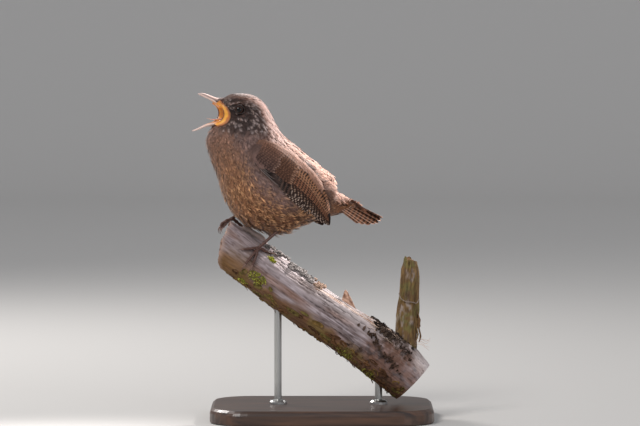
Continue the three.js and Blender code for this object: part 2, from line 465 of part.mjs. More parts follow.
// ---------------------------------------------------------------- display stand
function baseSolid() {
  const { w, d, t, corner } = BASE, shape = new THREE.Shape(), x = w / 2, y = d / 2, c = corner;
  shape.moveTo(-x + c, -y).lineTo(x - c, -y).absarc(x - c, -y + c, c, -Math.PI / 2, 0).lineTo(x, y - c).absarc(x - c, y - c, c, 0, Math.PI / 2)
    .lineTo(-x + c, y).absarc(-x + c, y - c, c, Math.PI / 2, Math.PI).lineTo(-x, -y + c).absarc(-x + c, -y + c, c, Math.PI, 1.5 * Math.PI);
  const outline = shape.getPoints(4).filter((p, i, all) => i === 0 || p.distanceTo(all[i - 1]) > 1e-4);
  if (outline[0].distanceTo(outline[outline.length - 1]) < 1e-4) outline.pop();
  const ring = (inset, z) => outline.map((p) => new THREE.Vector3(p.x - inset * Math.sign(p.x) * smooth(0, x, Math.abs(p.x)), p.y - inset * Math.sign(p.y) * smooth(0, y, Math.abs(p.y)), z));
  return solid(surface([ring(0.6, 0), ring(0, 0.6), ring(0, t - 2.2), ring(0.5, t - 1.0), ring(1.7, t)]));
}
const base = baseSolid();
const rods = ROD.xs.map((x, i) => {
  const top = ROD.tops[i], profile = [[0, 0], [ROD.foot, 0], [ROD.foot, 0.9], [ROD.foot - 0.8, 1.7], [ROD.r, 2.2], [ROD.r, top], [0, top]].map(([r, z]) => new THREE.Vector2(r, z));
  return largest(solid(new THREE.LatheGeometry(profile, 16).rotateX(Math.PI / 2).translate(x, 0, BASE.t)).subtract(branchRoom));
});

// ---------------------------------------------------------------- materials and the scene graph
const paint = (hex, roughness, metalness = 0) => new THREE.MeshStandardMaterial({ color: hex, roughness, metalness });
const FINISH = {
  plumage: paint(0x6b4630, 0.85), wing: paint(0x4a3124, 0.75), horn: paint(0xb9968a, 0.45), gape: paint(0xe2902c, 0.5), tongue: paint(0xd9a79a, 0.5),
  eye: paint(0x120b08, 0.08), leg: paint(0x6e4c3f, 0.6), claw: paint(0x8a6b60, 0.4), wood: paint(0x9c8474, 0.9), base: paint(0x33221a, 0.35), rod: paint(0x9a9a98, 0.3, 1),
};
const wren = new THREE.Group(), bird = new THREE.Group(), perch = new THREE.Group(), stand = new THREE.Group();
wren.add(bird, perch, stand);
function put(group, name, m, material) {
  const g = geometry(m);
  g.computeBoundingBox();
  const c = g.boundingBox.getCenter(new THREE.Vector3());
  c.set(Math.round(c.x), Math.round(c.y), Math.round(c.z));
  g.translate(-c.x, -c.y, -c.z);
  const mesh = new THREE.Mesh(g, material);
  mesh.name = name;
  mesh.position.copy(c);
  group.add(mesh);
}
const clear = (m, ...others) => largest(others.reduce((a, b) => a.subtract(b), m));
put(bird, 'head', head, FINISH.plumage);
put(bird, 'neck', neckPart, FINISH.plumage);
put(bird, 'trunk', trunk, FINISH.plumage);
put(bird, 'tail', tail, FINISH.wing);
put(bird, 'wing_left', wings.left, FINISH.wing);
put(bird, 'wing_right', wings.right, FINISH.wing);
put(bird, 'upper_bill', clear(upperBill, lowerBill), FINISH.horn);
put(bird, 'lower_bill', lowerBill, FINISH.horn);
put(bird, 'gape', gape, FINISH.gape);
put(bird, 'tongue', tonguePart, FINISH.tongue);
put(bird, 'eye_left', eyes.left, FINISH.eye);
put(bird, 'eye_right', eyes.right, FINISH.eye);
for (const side of ['left', 'right']) {
  put(bird, 'leg_' + side, clear(legs[side], ballRoom[side], branchRoom, feet[side]), FINISH.leg);
  put(bird, 'foot_' + side, clear(feet[side], branchRoom), FINISH.leg);
  claws[side].forEach((c, i) => put(bird, 'claw_' + side + '_' + (i + 1), clear(c, branchRoom), FINISH.claw));
}
put(perch, 'perch_branch', branch, FINISH.wood);
put(stand, 'stand_base', base, FINISH.base);
rods.forEach((m, i) => put(stand, 'stand_rod_' + ['front', 'rear'][i], m, FINISH.rod));

export default wren;
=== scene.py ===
import math

import bpy
import numpy as np
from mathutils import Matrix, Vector


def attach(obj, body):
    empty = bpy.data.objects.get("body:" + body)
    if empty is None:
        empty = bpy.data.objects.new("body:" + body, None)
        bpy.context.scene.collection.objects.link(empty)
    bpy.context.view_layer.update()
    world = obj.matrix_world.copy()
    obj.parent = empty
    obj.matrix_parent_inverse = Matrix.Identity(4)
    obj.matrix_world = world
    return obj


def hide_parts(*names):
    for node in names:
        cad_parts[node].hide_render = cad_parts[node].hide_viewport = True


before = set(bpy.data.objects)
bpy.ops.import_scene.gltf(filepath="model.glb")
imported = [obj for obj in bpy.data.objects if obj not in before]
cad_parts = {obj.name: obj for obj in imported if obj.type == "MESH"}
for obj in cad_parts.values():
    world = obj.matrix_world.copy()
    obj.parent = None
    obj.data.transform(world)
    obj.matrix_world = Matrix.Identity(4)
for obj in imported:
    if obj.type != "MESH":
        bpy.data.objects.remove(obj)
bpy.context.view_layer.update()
rng = np.random.default_rng(11)
MM = 0.001

# ------------------------------------------------------------------ the bird's measures, millimetres
BODY_YAW, HEAD_YAW, YAW_X, HEAD_X = math.radians(12), math.radians(6), -27.1, -37.0
SECTIONS = np.array([
    [16.2, 103.1, 15.2, 100.5, 1.5, 0], [11.4, 106.4, 11.0, 97.6, 4.5, 0], [5.2, 111.2, 4.3, 95.7, 8.0, 0],
    [3.1, 117.2, -3.8, 93.4, 12.0, 0], [-2.4, 122.4, -12.4, 90.3, 15.0, -0.05], [-8.1, 127.2, -22.4, 87.9, 17.0, -0.08],
    [-12.9, 131.4, -32.4, 90.7, 18.0, -0.08], [-16.7, 134.8, -41.0, 96.4, 18.3, -0.05], [-19.5, 137.6, -46.7, 104.8, 18.0, 0],
    [-21.4, 140.2, -50.7, 116.7, 16.8, 0.05], [-23.1, 143.3, -54.0, 127.1, 14.6, 0.1], [-25.0, 147.0, -55.0, 133.6, 12.2, 0.18],
    [-28.1, 151.2, -53.6, 137.9, 10.2, 0.25], [-32.4, 154.1, -52.4, 139.8, 9.2, 0.25], [-37.6, 155.2, -51.9, 141.7, 8.2, 0.22],
    [-42.9, 154.9, -51.7, 143.3, 6.4, 0.15], [-46.4, 153.3, -51.2, 145.5, 4.6, 0.1], [-48.8, 151.7, -50.5, 148.1, 2.4, 0]])
UPPER_BILL = [[-47.0, 153.0, -49.6, 148.2, 3.5, -0.2], [-49.7, 152.9, -51.3, 150.0, 2.6, -0.2], [-51.9, 153.5, -53.1, 151.5, 1.95, -0.15],
              [-54.5, 154.6, -55.5, 152.7, 1.4, -0.1], [-56.9, 155.3, -57.6, 153.9, 0.9, 0], [-59.3, 155.2, -59.2, 154.8, 0.18, 0]]
LOWER_BILL = [[-49.0, 142.5, -50.4, 139.6, 3.3, 0.2], [-52.6, 141.7, -53.5, 139.7, 2.4, 0.2], [-55.0, 140.9, -55.6, 139.3, 1.75, 0.15],
              [-58.0, 139.6, -58.1, 138.3, 1.15, 0.1], [-60.2, 138.5, -60.2, 137.6, 0.65, 0], [-62.0, 137.6, -62.0, 137.2, 0.18, 0]]
GAPE = [[-51.6, 150.4], [-49.6, 149.2], [-48.4, 147.4], [-48.0, 145.4], [-48.6, 143.5], [-50.0, 142.0], [-52.4, 141.0]]
GAPE_HALF = 4.3
EYE = dict(x=-41.7, z=147.5, r=2.45, depth=1.65)
WING = [[-30.6, 133.2, -34.4, 128.4], [-22.8, 130.4, -31.2, 121.9], [-15.7, 126.0, -24.8, 115.2], [-9.0, 120.5, -17.6, 108.1],
        [-3.3, 114.3, -10.0, 101.2], [1.0, 106.7, -3.6, 96.0], [2.9, 99.2, 1.0, 93.2], [3.7, 93.2, 3.5, 92.0]]
TAIL = dict(x=5.0, z=107.1, length=26.8, width=4.6, pitch=-25.3)
BRANCH = [[-53.5, 87.9, 10.6], [-45.5, 82.4, 10.8], [-28.6, 70.7, 10.8], [-10.5, 57.6, 10.8],
          [8.6, 44.8, 11.2], [25.2, 33.4, 11.9], [36.6, 24.0, 11.9], [43.4, 17.4, 11.4]]
TARSUS_R, TOE_R, CLAW_R, GAP = 0.72, 0.62, 0.42, 0.3


# ------------------------------------------------------------------ small helpers
def smooth(a, b, x):
    t = np.clip((np.asarray(x, float) - a) / (b - a), 0, 1)
    return t * t * (3 - 2 * t)


def lerp(a, b, t):
    return a + (b - a) * t


def unit(v):
    return v / np.maximum(np.linalg.norm(v, axis=-1, keepdims=True), 1e-9)


def lin(*rgb):
    c = np.array(rgb, float) / 255.0
    return np.where(c <= 0.04045, c / 12.92, ((c + 0.055) / 1.055) ** 2.4)


def mixc(a, b, t):
    return a + (b - a) * np.asarray(t)[..., None]


def row_at(rows, t):
    rows = np.asarray(rows, float)
    n, t = len(rows) - 1, np.asarray(t, float)
    i = np.clip(np.floor(t).astype(int), 0, n - 1)
    f = (t - i)[..., None]
    p0, p1, p2, p3 = rows[np.maximum(i - 1, 0)], rows[i], rows[i + 1], rows[np.minimum(i + 2, n)]
    return 0.5 * (2 * p1 + (p2 - p0) * f + (2 * p0 - 5 * p1 + 4 * p2 - p3) * f * f + (3 * p1 - p0 - 3 * p2 + p3) * f ** 3)


def hashed(i, j, k, seed):
    with np.errstate(over="ignore"):
        h = (i.astype(np.uint32) * np.uint32(73856093)) ^ (j.astype(np.uint32) * np.uint32(19349663)) ^ (k.astype(np.uint32) * np.uint32(83492791)) ^ np.uint32(seed * 7919 + 17)
        h = (h ^ (h >> np.uint32(13))) * np.uint32(1274126177)
        h = (h ^ (h >> np.uint32(15))) * np.uint32(2246822519)
    return ((h ^ (h >> np.uint32(16))) & np.uint32(0xFFFFFF)).astype(float) / 0xFFFFFF


def noise(P, freq=1.0, seed=1):
    """Smooth value noise, -1 to 1."""
    q = np.asarray(P, float) * freq + 1000.0
    i = np.floor(q).astype(np.int64)
    f = q - i
    f = f * f * (3 - 2 * f)
    out = 0.0
    for dx in (0, 1):
        for dy in (0, 1):
            for dz in (0, 1):
                w = (f[..., 0] if dx else 1 - f[..., 0]) * (f[..., 1] if dy else 1 - f[..., 1]) * (f[..., 2] if dz else 1 - f[..., 2])
                out = out + w * hashed(i[..., 0] + dx, i[..., 1] + dy, i[..., 2] + dz, seed)
    return out * 2 - 1


def fractal(P, freq=1.0, octaves=3, seed=1):
    return sum(noise(P, freq * 2 ** k, seed + k) / 2 ** k for k in range(octaves)) / 1.5


def turn(P):
    P = np.asarray(P, float)
    h = HEAD_YAW * smooth(127, 142, P[..., 2])
    x, y = P[..., 0] - HEAD_X, P[..., 1]
    x, y = x * np.cos(h) - y * np.sin(h) + HEAD_X, x * np.sin(h) + y * np.cos(h)
    dx = (x - YAW_X) / math.cos(BODY_YAW)
    return np.stack([YAW_X + dx * math.cos(BODY_YAW) - y * math.sin(BODY_YAW), dx * math.sin(BODY_YAW) + y * math.cos(BODY_YAW), P[..., 2]], -1)


def loft_own(rows, t, th, grow=0.0):
    r = row_at(rows, t)
    D, V, w, m = r[..., 0:2], r[..., 2:4], r[..., 4], r[..., 5]
    mid, half = (D + V) / 2, (D - V) / 2
    h = np.linalg.norm(half, axis=-1)
    d = half / h[..., None]
    c, s = np.cos(th), np.sin(th)
    return np.stack([mid[..., 0] + d[..., 0] * (h + grow) * c, (w + grow) * s * (1 + m * c), mid[..., 1] + d[..., 1] * (h + grow) * c], -1)


def body(t, th, grow=0.0):
    return turn(loft_own(SECTIONS, t, th, grow))


def body_frame(t, th, rows=SECTIONS, e=0.02):
    at = lambda a, b: turn(loft_own(rows, a, b))
    P = at(t, th)
    Pt, Ph = at(t + e, th) - at(t - e, th), at(t, th + e) - at(t, th - e)
    N = unit(np.cross(Ph, Pt))
    C = row_at(rows, t)
    centre = turn(np.stack([(C[..., 0] + C[..., 2]) / 2, 0 * t, (C[..., 1] + C[..., 3]) / 2], -1))
    N = np.where(np.sum(N * (P - centre), -1, keepdims=True) < 0, -N, N)
    F = -unit(Pt)
    F = unit(F - N * np.sum(F * N, -1, keepdims=True))
    return P, F, N, np.linalg.norm(np.cross(Pt, Ph), axis=-1) / (4 * e * e)


def half_width(x, z):
    def side(t):
        a, b, c, d = row_at(SECTIONS, t)[:4]
        return (a - c) * (z - d) - (b - d) * (x - c)
    lo, hi = 0.5, len(SECTIONS) - 1.5
    s0 = side(lo)
    if s0 * side(hi) > 0:
        return None
    for _ in range(30):
        m = (lo + hi) / 2
        if side(m) * s0 > 0:
            lo = m
        else:
            hi = m
    a, b, c, d, w, m = row_at(SECTIONS, lo)
    f = 2 * ((x - c) * (a - c) + (z - d) * (b - d)) / ((a - c) ** 2 + (b - d) ** 2) - 1
    return w * math.sqrt(1 - f * f) * (1 + m * f) if abs(f) < 1 else None


# ------------------------------------------------------------------ meshes and materials
made = []


def mesh_object(name, verts, faces, colours=None, uvs=None, material=None, replaces=(), flat=False):
    """faces is a list of index arrays, each of triangles or of quads. uvs is one pair for each vertex."""
    me = bpy.data.meshes.new(name)
    verts = np.asarray(verts, float).reshape(-1, 3) * MM
    me.vertices.add(len(verts))
    me.vertices.foreach_set("co", verts.ravel())
    idx = np.concatenate([np.asarray(f).ravel() for f in faces]).astype(np.int32)
    sizes = np.concatenate([np.full(len(f), np.asarray(f).shape[1]) for f in faces]).astype(np.int32)
    me.loops.add(len(idx))
    me.loops.foreach_set("vertex_index", idx)
    me.polygons.add(len(sizes))
    me.polygons.foreach_set("loop_start", np.concatenate([[0], np.cumsum(sizes)[:-1]]).astype(np.int32))
    me.polygons.foreach_set("loop_total", sizes)
    me.polygons.foreach_set("use_smooth", np.full(len(sizes), not flat))
    me.update(calc_edges=True)
    if colours is not None:
        a = me.color_attributes.new(name="Col", type="FLOAT_COLOR", domain="POINT")
        c = np.ones((len(verts), 4))
        c[:, :3] = np.clip(np.asarray(colours).reshape(-1, 3), 0, 1)
        a.data.foreach_set("color", c.ravel())
    if uvs is not None:
        u = me.uv_layers.new(name="OFBake")
        u.data.foreach_set("uv", np.clip(np.asarray(uvs, float).reshape(-1, 2), 0.0005, 0.9995)[idx].ravel())
    me.validate(verbose=False)
    ob = bpy.data.objects.new(name, me)
    bpy.context.scene.collection.objects.link(ob)
    if material:
        me.materials.append(material)
    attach(ob, "root")
    if replaces:
        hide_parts(*replaces)
    made.append(ob)
    return ob


def grid_faces(n, m, wrap=False, start=0):
    i, j = np.meshgrid(np.arange(n - 1), np.arange(m if wrap else m - 1), indexing="ij")
    i, j = i.ravel(), j.ravel()
    k = (j + 1) % m
    return np.stack([i * m + j, i * m + k, (i + 1) * m + k, (i + 1) * m + j], -1) + start


def material(name, rough=0.6, spec=0.4, colour=None, bump=0.0, bump_scale=2000.0, stretch=(1, 1, 1), vary=0.0, vary_scale=900.0, coat=0.0, sheen=0.0, metal=0.0, sss=0.0, grain=None):
    m = bpy.data.materials.new(name)
    m.use_nodes = True
    nt = m.node_tree
    b = nt.nodes["Principled BSDF"]
    b.inputs["Roughness"].default_value = rough
    b.inputs["Specular IOR Level"].default_value = spec
    b.inputs["Metallic"].default_value = metal
    if coat:
        b.inputs["Coat Weight"].default_value = coat
        b.inputs["Coat Roughness"].default_value = 0.08
    if sheen:
        b.inputs["Sheen Weight"].default_value = sheen
        b.inputs["Sheen Roughness"].default_value = 0.5
    if sss:
        b.inputs["Subsurface Weight"].default_value = sss
        b.inputs["Subsurface Scale"].default_value = 0.001
    tc = nt.nodes.new("ShaderNodeTexCoord")
    mp = nt.nodes.new("ShaderNodeMapping")
    mp.inputs["Scale"].default_value = stretch
    if grain is not None:                   # the wood's fibres run along this slope
        mp.vector_type = "TEXTURE"
        mp.inputs["Rotation"].default_value = (0, math.radians(grain), 0)
        mp.inputs["Scale"].default_value = (9, 1, 1)
    nt.links.new(tc.outputs["Object"], mp.inputs["Vector"])
    if colour is None:
        at = nt.nodes.new("ShaderNodeAttribute")
        at.attribute_name = "Col"
        src = at.outputs["Color"]
    else:
        rgb = nt.nodes.new("ShaderNodeRGB")
        rgb.outputs[0].default_value = (*colour, 1)
        src = rgb.outputs[0]
    if vary:
        nz = nt.nodes.new("ShaderNodeTexNoise")
        nz.inputs["Scale"].default_value = vary_scale
        nz.inputs["Detail"].default_value = 4
        nt.links.new(mp.outputs[0], nz.inputs["Vector"])
        mr = nt.nodes.new("ShaderNodeMapRange")
        mr.inputs["From Min"].default_value, mr.inputs["From Max"].default_value = 0.25, 0.75
        mr.inputs["To Min"].default_value, mr.inputs["To Max"].default_value = 1 - vary, 1 + vary
        nt.links.new(nz.outputs["Fac"], mr.inputs["Value"])
        mx = nt.nodes.new("ShaderNodeVectorMath")
        mx.operation = "MULTIPLY"
        nt.links.new(src, mx.inputs[0])
        nt.links.new(mr.outputs["Result"], mx.inputs[1])
        src = mx.outputs[0]
    nt.links.new(src, b.inputs["Base Color"])
    if bump:
        nb = nt.nodes.new("ShaderNodeTexNoise")
        nb.inputs["Scale"].default_value = bump_scale
        nb.inputs["Detail"].default_value = 5
        nt.links.new(mp.outputs[0], nb.inputs["Vector"])
        bp = nt.nodes.new("ShaderNodeBump")
        bp.inputs["Strength"].default_value = bump
        bp.inputs["Distance"].default_value = 0.0003
        nt.links.new(nb.outputs["Fac"], bp.inputs["Height"])
        nt.links.new(bp.outputs["Normal"], b.inputs["Normal"])
    return m


M_FEATHER = material("feather", rough=0.8, spec=0.2, sheen=0.28, vary=0.12, vary_scale=1500)
M_FLIGHT = material("flight_feather", rough=0.7, spec=0.16, sheen=0.0, vary=0.08, vary_scale=1500)
M_SKIN = material("skin", rough=0.9, spec=0.2, bump=0.4)
M_HORN = material("horn", rough=0.34, spec=0.5, bump=0.1, bump_scale=900, coat=0.15)
M_MOUTH = material("mouth", rough=0.38, spec=0.5, coat=0.25, sss=0.25)
M_EYE = material("eye", rough=0.05, spec=0.26)
M_LEG = material("scaly_leg", rough=0.5, spec=0.45, bump=0.15)
M_WOOD = material("weathered_wood", rough=0.88, spec=0.2, bump=0.8, bump_scale=1900, vary=0.26, vary_scale=1500, grain=34.7)
M_SHOOT = material("weathered_shoot", rough=0.88, spec=0.2, bump=0.8, bump_scale=1900, vary=0.22, vary_scale=1500, grain=90)
M_BARK = material("bark", rough=0.9, spec=0.15, bump=0.5, bump_scale=1500, vary=0.15, vary_scale=1200)
M_MOSS = material("moss", rough=0.8, spec=0.25)


# ------------------------------------------------------------------ the coat's colours
T_KEYS = [0, 2, 4, 6, 8, 10, 12, 13.5, 15, 17]
DORSAL = np.array([lin(*c) for c in [(150, 100, 74), (156, 106, 82), (152, 106, 84), (136, 94, 74), (126, 86, 70), (122, 84, 69), (124, 85, 70), (122, 83, 66), (108, 76, 63), (92, 66, 57)]])
SIDE = np.array([lin(*c) for c in [(128, 82, 55), (116, 76, 54), (116, 88, 78), (128, 103, 98), (122, 98, 92), (118, 94, 88), (98, 76, 71), (75, 55, 50), (62, 45, 41), (56, 40, 36)]])
VENTRAL = np.array([lin(*c) for c in [(158, 102, 64), (138, 88, 55), (112, 70, 43), (134, 86, 54), (156, 106, 71), (146, 107, 86), (146, 114, 102), (132, 102, 91), (112, 84, 73), (90, 66, 56)]])
BARS_D, BARS_S, BARS_V = [.55, .45, .4, .42, .4, .36, .4, .4, .4, .3], [.8, .8, .8, .62, .52, .46, .5, .5, .5, .4], [.95, .92, .92, .9, .82, .66, .5, .3, .2, .2]
DARK, PALE = lin(38, 25, 20), lin(176, 148, 134)


def table(values, t):
    values = np.asarray(values, float)
    if values.ndim == 1:
        return np.interp(t, T_KEYS, values)
    return np.stack([np.interp(t, T_KEYS, values[:, k]) for k in range(values.shape[1])], -1)


def region(t, th):
    v = (1 - np.cos(th)) / 2
    wd, wv = 1 - smooth(0.10, 0.40, v), smooth(0.55, 0.86, v)
    ws = np.clip(1 - wd - wv, 0, 1)
    base = table(DORSAL, t) * wd[..., None] + table(SIDE, t) * ws[..., None] + table(VENTRAL, t) * wv[..., None]
    bars = table(BARS_D, t) * wd + table(BARS_S, t) * ws + table(BARS_V, t) * wv
    return base, bars, v


T_GRID, H_GRID = np.linspace(0, 17, 341), np.linspace(0, 2 * math.pi, 97)
_tt, _hh = np.meshgrid(T_GRID, H_GRID, indexing="ij")
_P = body(_tt, _hh)
_seg = np.linalg.norm(np.diff(_P, axis=0), axis=-1)
ARC = np.zeros_like(_tt)
ARC[:-1] = np.cumsum(_seg[::-1], axis=0)[::-1]


def arc_at(t, th):
    a, b = np.clip(t / 17 * 340, 0, 339.999), np.clip((th % (2 * math.pi)) / (2 * math.pi) * 96, 0, 95.999)
    i, j = a.astype(int), b.astype(int)
    f, g = a - i, b - j
    return (ARC[i, j] * (1 - f) + ARC[i + 1, j] * f) * (1 - g) + (ARC[i, j + 1] * (1 - f) + ARC[i + 1, j + 1] * f) * g


def skin_uv(t, th):
    """An unwrap of the body: along it from tail to bill, and round it from the back."""
    return np.stack([0.02 + 0.96 * np.clip(t / 17, 0, 1), 0.02 + 0.96 * ((th % (2 * math.pi)) / (2 * math.pi))], -1)


def bar_value(arc, root, period, warp=0.7, seed=3):
    wob = warp * noise(root, 0.33, seed) + 0.35 * noise(root, 0.8, seed + 5)
    s = np.sin(2 * math.pi * (arc / period + wob))
    return smooth(-0.1, 0.75, s)


def marking(t, th, P, arc):
    """The skin's colour at a place: the coat's own, with its bars blurred."""
    base, bars, v = region(t, th)
    period = np.interp(t, [0, 3, 6, 9, 12, 17], [2.5, 2.3, 2.15, 1.9, 1.5, 1.1])
    b = bar_value(arc, P, period)
    return mixc(base, DARK, np.clip(b * bars * 0.6 + 0.25 * smooth(11.4, 12.8, t), 0, 0.93))


def vane_marking(t, th, P, edge, ll, cc, odd):
    """A small feather's colour: edge is the distance in millimetres from its rounded end, odd a number of its own, 0 to 1."""
    base, bars, v = region(t, th)
    head, low = smooth(11.2, 12.6, t), smooth(0.42, 0.75, v)
    body_part = 1 - head
    # below and on the flanks: a pale ochre fringe, a dark bar inside it, and another further in
    wide = np.interp(t, [0, 4, 8, 11, 17], [0.9, 0.95, 0.82, 0.52, 0.36])
    fringe = smooth(0.46 * wide + 0.12, 0.30 * wide, edge)
    bar = smooth(0.45 * wide, 0.75 * wide, edge) * smooth(1.75 * wide, 1.35 * wide, edge) + 0.7 * smooth(2.6 * wide, 2.9 * wide, edge) * smooth(3.9 * wide, 3.5 * wide, edge)
    strength = np.clip(bars * (0.72 + 0.6 * odd) * (1 - 0.75 * smooth(3.4, 1.6, t) * smooth(0.68, 0.42, v)), 0, 1)
    col = mixc(base, DARK, np.clip(bar * strength * (1 - 0.45 * head), 0, 0.96))
    col = mixc(col, mixc(base * 1.5 + 0.02, lin(214, 160, 114), low * smooth(10, 8, t)), np.clip(fringe * lerp(0.32, 0.95, low) * body_part * (0.35 + bars), 0, 1))
    # the face: dark feathers, each with a pale point, in a coarse mottle; the crown is plainer
    face = head * smooth(0.10, 0.24, v) * smooth(0.97, 0.75, v)
    face = smooth(137.4, 140.6, P[..., 2] + 0.7 * noise(P, 0.4, 47)) * smooth(1.0, -1.2, P[..., 0] + 25.6 + 0.41 * (P[..., 2] - 138)) * smooth(0.12, 0.24, v) * smooth(0.99, 0.8, v)
    point = smooth(0.85, 0.4, np.abs(cc)) * smooth(0.4, 0.62, ll) * smooth(0.44, 0.60, odd + 0.12 * noise(P, 0.75, 43))
    col = mixc(col, lin(24, 16, 15), np.clip(face * 0.74, 0, 1))
    col = mixc(col, lin(172, 152, 146), np.clip(0.64 * face * point, 0, 1))
    # the neck and breast: every feather a little lighter or darker than the next
    col = col * (1 + 0.30 * (1 - face) * (odd - 0.5) * smooth(3, 8, t))[..., None]
    crown = head * smooth(0.22, 0.08, v)
    return mixc(col, DARK, np.clip(0.42 * crown * bar, 0, 1))


def face_marks(own, col):
    """The pale brow over the eye, the dark line through it, and the dark lores."""
    x, z = own[..., 0], own[..., 2]
    on = smooth(-31.5, -33.5, x)
    brow = np.exp(-((z - (150.9 + 0.06 * (x + 41))) / 0.62) ** 2) * on * smooth(-48.5, -46.5, x)
    line = np.exp(-((z - (147.9 + 0.02 * (x + 41))) / 1.0) ** 2) * smooth(-30.0, -33.5, x) * smooth(-49.5, -47, x)
    col = mixc(col, lin(128, 100, 90), np.clip(0.42 * brow, 0, 1))
    return mixc(col, lin(30, 21, 20), np.clip(0.6 * line, 0, 1))


# ------------------------------------------------------------------ skin
def skin_depth(t):
    return np.interp(t, [0, 1.2, 2, 4, 9, 11, 12.5, 14, 16, 17], [1.6, 1.5, 1.4, 1.7, 1.6, 1.2, 0.8, 0.6, 0.45, 0.3])


def mouth_own(u, a, back=0.0):
    """u from the upper to the lower mandible, 0 to 1; a across, -1 to 1."""
    g = row_at(GAPE, u * (len(GAPE) - 1))
    k = np.sin(math.pi * np.clip(u, 0, 1))
    deep = 4.6 * smooth(0, 0.6, 1 - np.abs(a)) + back
    half = GAPE_HALF * (0.74 + 0.26 * k)
    return np.stack([g[..., 0] + deep * k * 0.95, a * half, g[..., 1] - 0.35 * deep * k * k], -1)


FOLD = [[-49.8, 152.0], [-48.3, 150.3], [-47.1, 148.4], [-46.1, 145.8], [-46.3, 143.2], [-48.0, 140.9], [-51.2, 139.4]]   # where the face's feathers begin


def fold_x(z):
    g = np.array(FOLD)[::-1]
    return np.interp(z, g[:, 1], g[:, 0])


def gape_x(z):
    g = np.array(GAPE)[::-1]
    return np.interp(z, g[:, 1], g[:, 0])


eye_own = {}
for side in (-1, 1):
    eye_own[side] = np.array([EYE["x"], side * (half_width(EYE["x"], EYE["z"]) - EYE["depth"]), EYE["z"]])
eye_at = {s: turn(eye_own[s]) for s in eye_own}

n_t, n_h = 230, 112
tt, hh = np.meshgrid(np.linspace(1.1, 16.9, n_t), np.linspace(0, 2 * math.pi, n_h, endpoint=False), indexing="ij")
own = loft_own(SECTIONS, tt, hh)
# shallow sockets for the eyes
skinP = body(tt, hh, -skin_depth(tt) - np.sin(hh) ** 2 * np.interp(tt, [0, 1.2, 2.2, 3.2], [3.0, 3.0, 1.8, 0]))
for s in (-1, 1):
    c = eye_at[s]
    d = np.linalg.norm(skinP - c, axis=-1)
    push = EYE["r"] + 0.02
    inside = d < push + 0.9
    pull = smooth(push + 0.9, push - 0.2, d) * (np.abs(own[..., 1]) > 1) * (np.sign(own[..., 1]) == s)
    inward = turn(np.array([EYE["x"] + 1.0, 0, EYE["z"] - 1.0])) - skinP
    skinP = skinP + unit(inward) * (pull * 1.6)[..., None]
# the front of the face draws back behind the gape, between the mandibles
front = own[..., 0] - gape_x(own[..., 2])
open_z = smooth(140.6, 142.0, own[..., 2]) * smooth(151.0, 149.6, own[..., 2])
back = np.clip(-front + 0.35, 0, None) * open_z
own_in = loft_own(SECTIONS, tt, hh, -skin_depth(tt))
own_in[..., 0] += back + 4.4 * open_z * smooth(-0.4, 0.6, -front) * smooth(GAPE_HALF + 0.5, 2.4, np.abs(own_in[..., 1]))
in_fold = smooth(0.3, -0.3, own[..., 0] - fold_x(own[..., 2])) * smooth(139.0, 139.8, own[..., 2]) * smooth(152.2, 151.4, own[..., 2])
own_in[..., 1] *= 1 - 0.16 * in_fold
moved = ((back > 0) | (in_fold > 0))[..., None]
skinP = np.where(moved, turn(own_in), skinP)
c_skin = face_marks(own, marking(tt, hh, skinP, arc_at(tt, hh))) * 0.72
c_skin = mixc(c_skin, lin(150, 84, 42), 0.9 * np.clip(in_fold, 0, 1))
faces = [grid_faces(n_t, n_h, wrap=True)]
V = skinP.reshape(-1, 3)
ends = []
for ring in (0, n_t - 1):
    ends.append(len(V))
    V = np.vstack([V, skinP[ring].mean(0)])
    j = np.arange(n_h)
    tri = np.stack([ring * n_h + j, ring * n_h + (j + 1) % n_h, np.full(n_h, len(V) - 1)], -1)
    faces.append(tri if ring else tri[:, ::-1])
C = np.vstack([c_skin.reshape(-1, 3), c_skin[0].mean(0), c_skin[-1].mean(0)])
U = np.vstack([skin_uv(tt, hh).reshape(-1, 2), [[0.02, 0.5]], [[0.98, 0.5]]])
mesh_object("bird_skin", V, faces, C, U, M_SKIN, ("head", "neck", "trunk"))


# ------------------------------------------------------------------ contour feathers
def barbs(count, seed=0):
    """A small feather as overlapping barbs: each a blade from the shaft out to the vane's edge. Gives l, c, blade number, and faces."""
    L, Cc, B, quads, tris = [], [], [], [], []
    outline = lambda l: math.sqrt(max(0.02, 1 - ((l - 0.52) / 0.53) ** 2))
    k = 0
    spread = [(s, i) for i in range(count) for s in (-1, 1)] + [(0, 0)]
    for s, i in spread:
        if s:
            lb = 0.04 + 0.66 * i / (count - 1)
            lt = min(1.02, lb + 0.36)
            ct, hw = s * outline(lt) * (1.0 if i % 2 else 0.93), 0.62 / count
            pts = [(lb - hw, 0), (lb + hw, 0), (lerp(lb, lt, 0.55) - hw * 0.95, ct * 0.62), (lerp(lb, lt, 0.55) + hw * 0.8, ct * 0.62), (lt, ct)]
        else:
            pts = [(0.5, -0.16), (0.5, 0.16), (0.82, -0.13), (0.82, 0.13), (1.05, 0)]
        for l, c in pts:
            L.append(l), Cc.append(c), B.append(k)
        o = 5 * k
        quads.append((o, o + 1, o + 3, o + 2))
        tris.append((o + 2, o + 3, o + 4))
        k += 1
    return np.array(L), np.array(Cc), np.array(B), np.array(quads), np.array(tris)


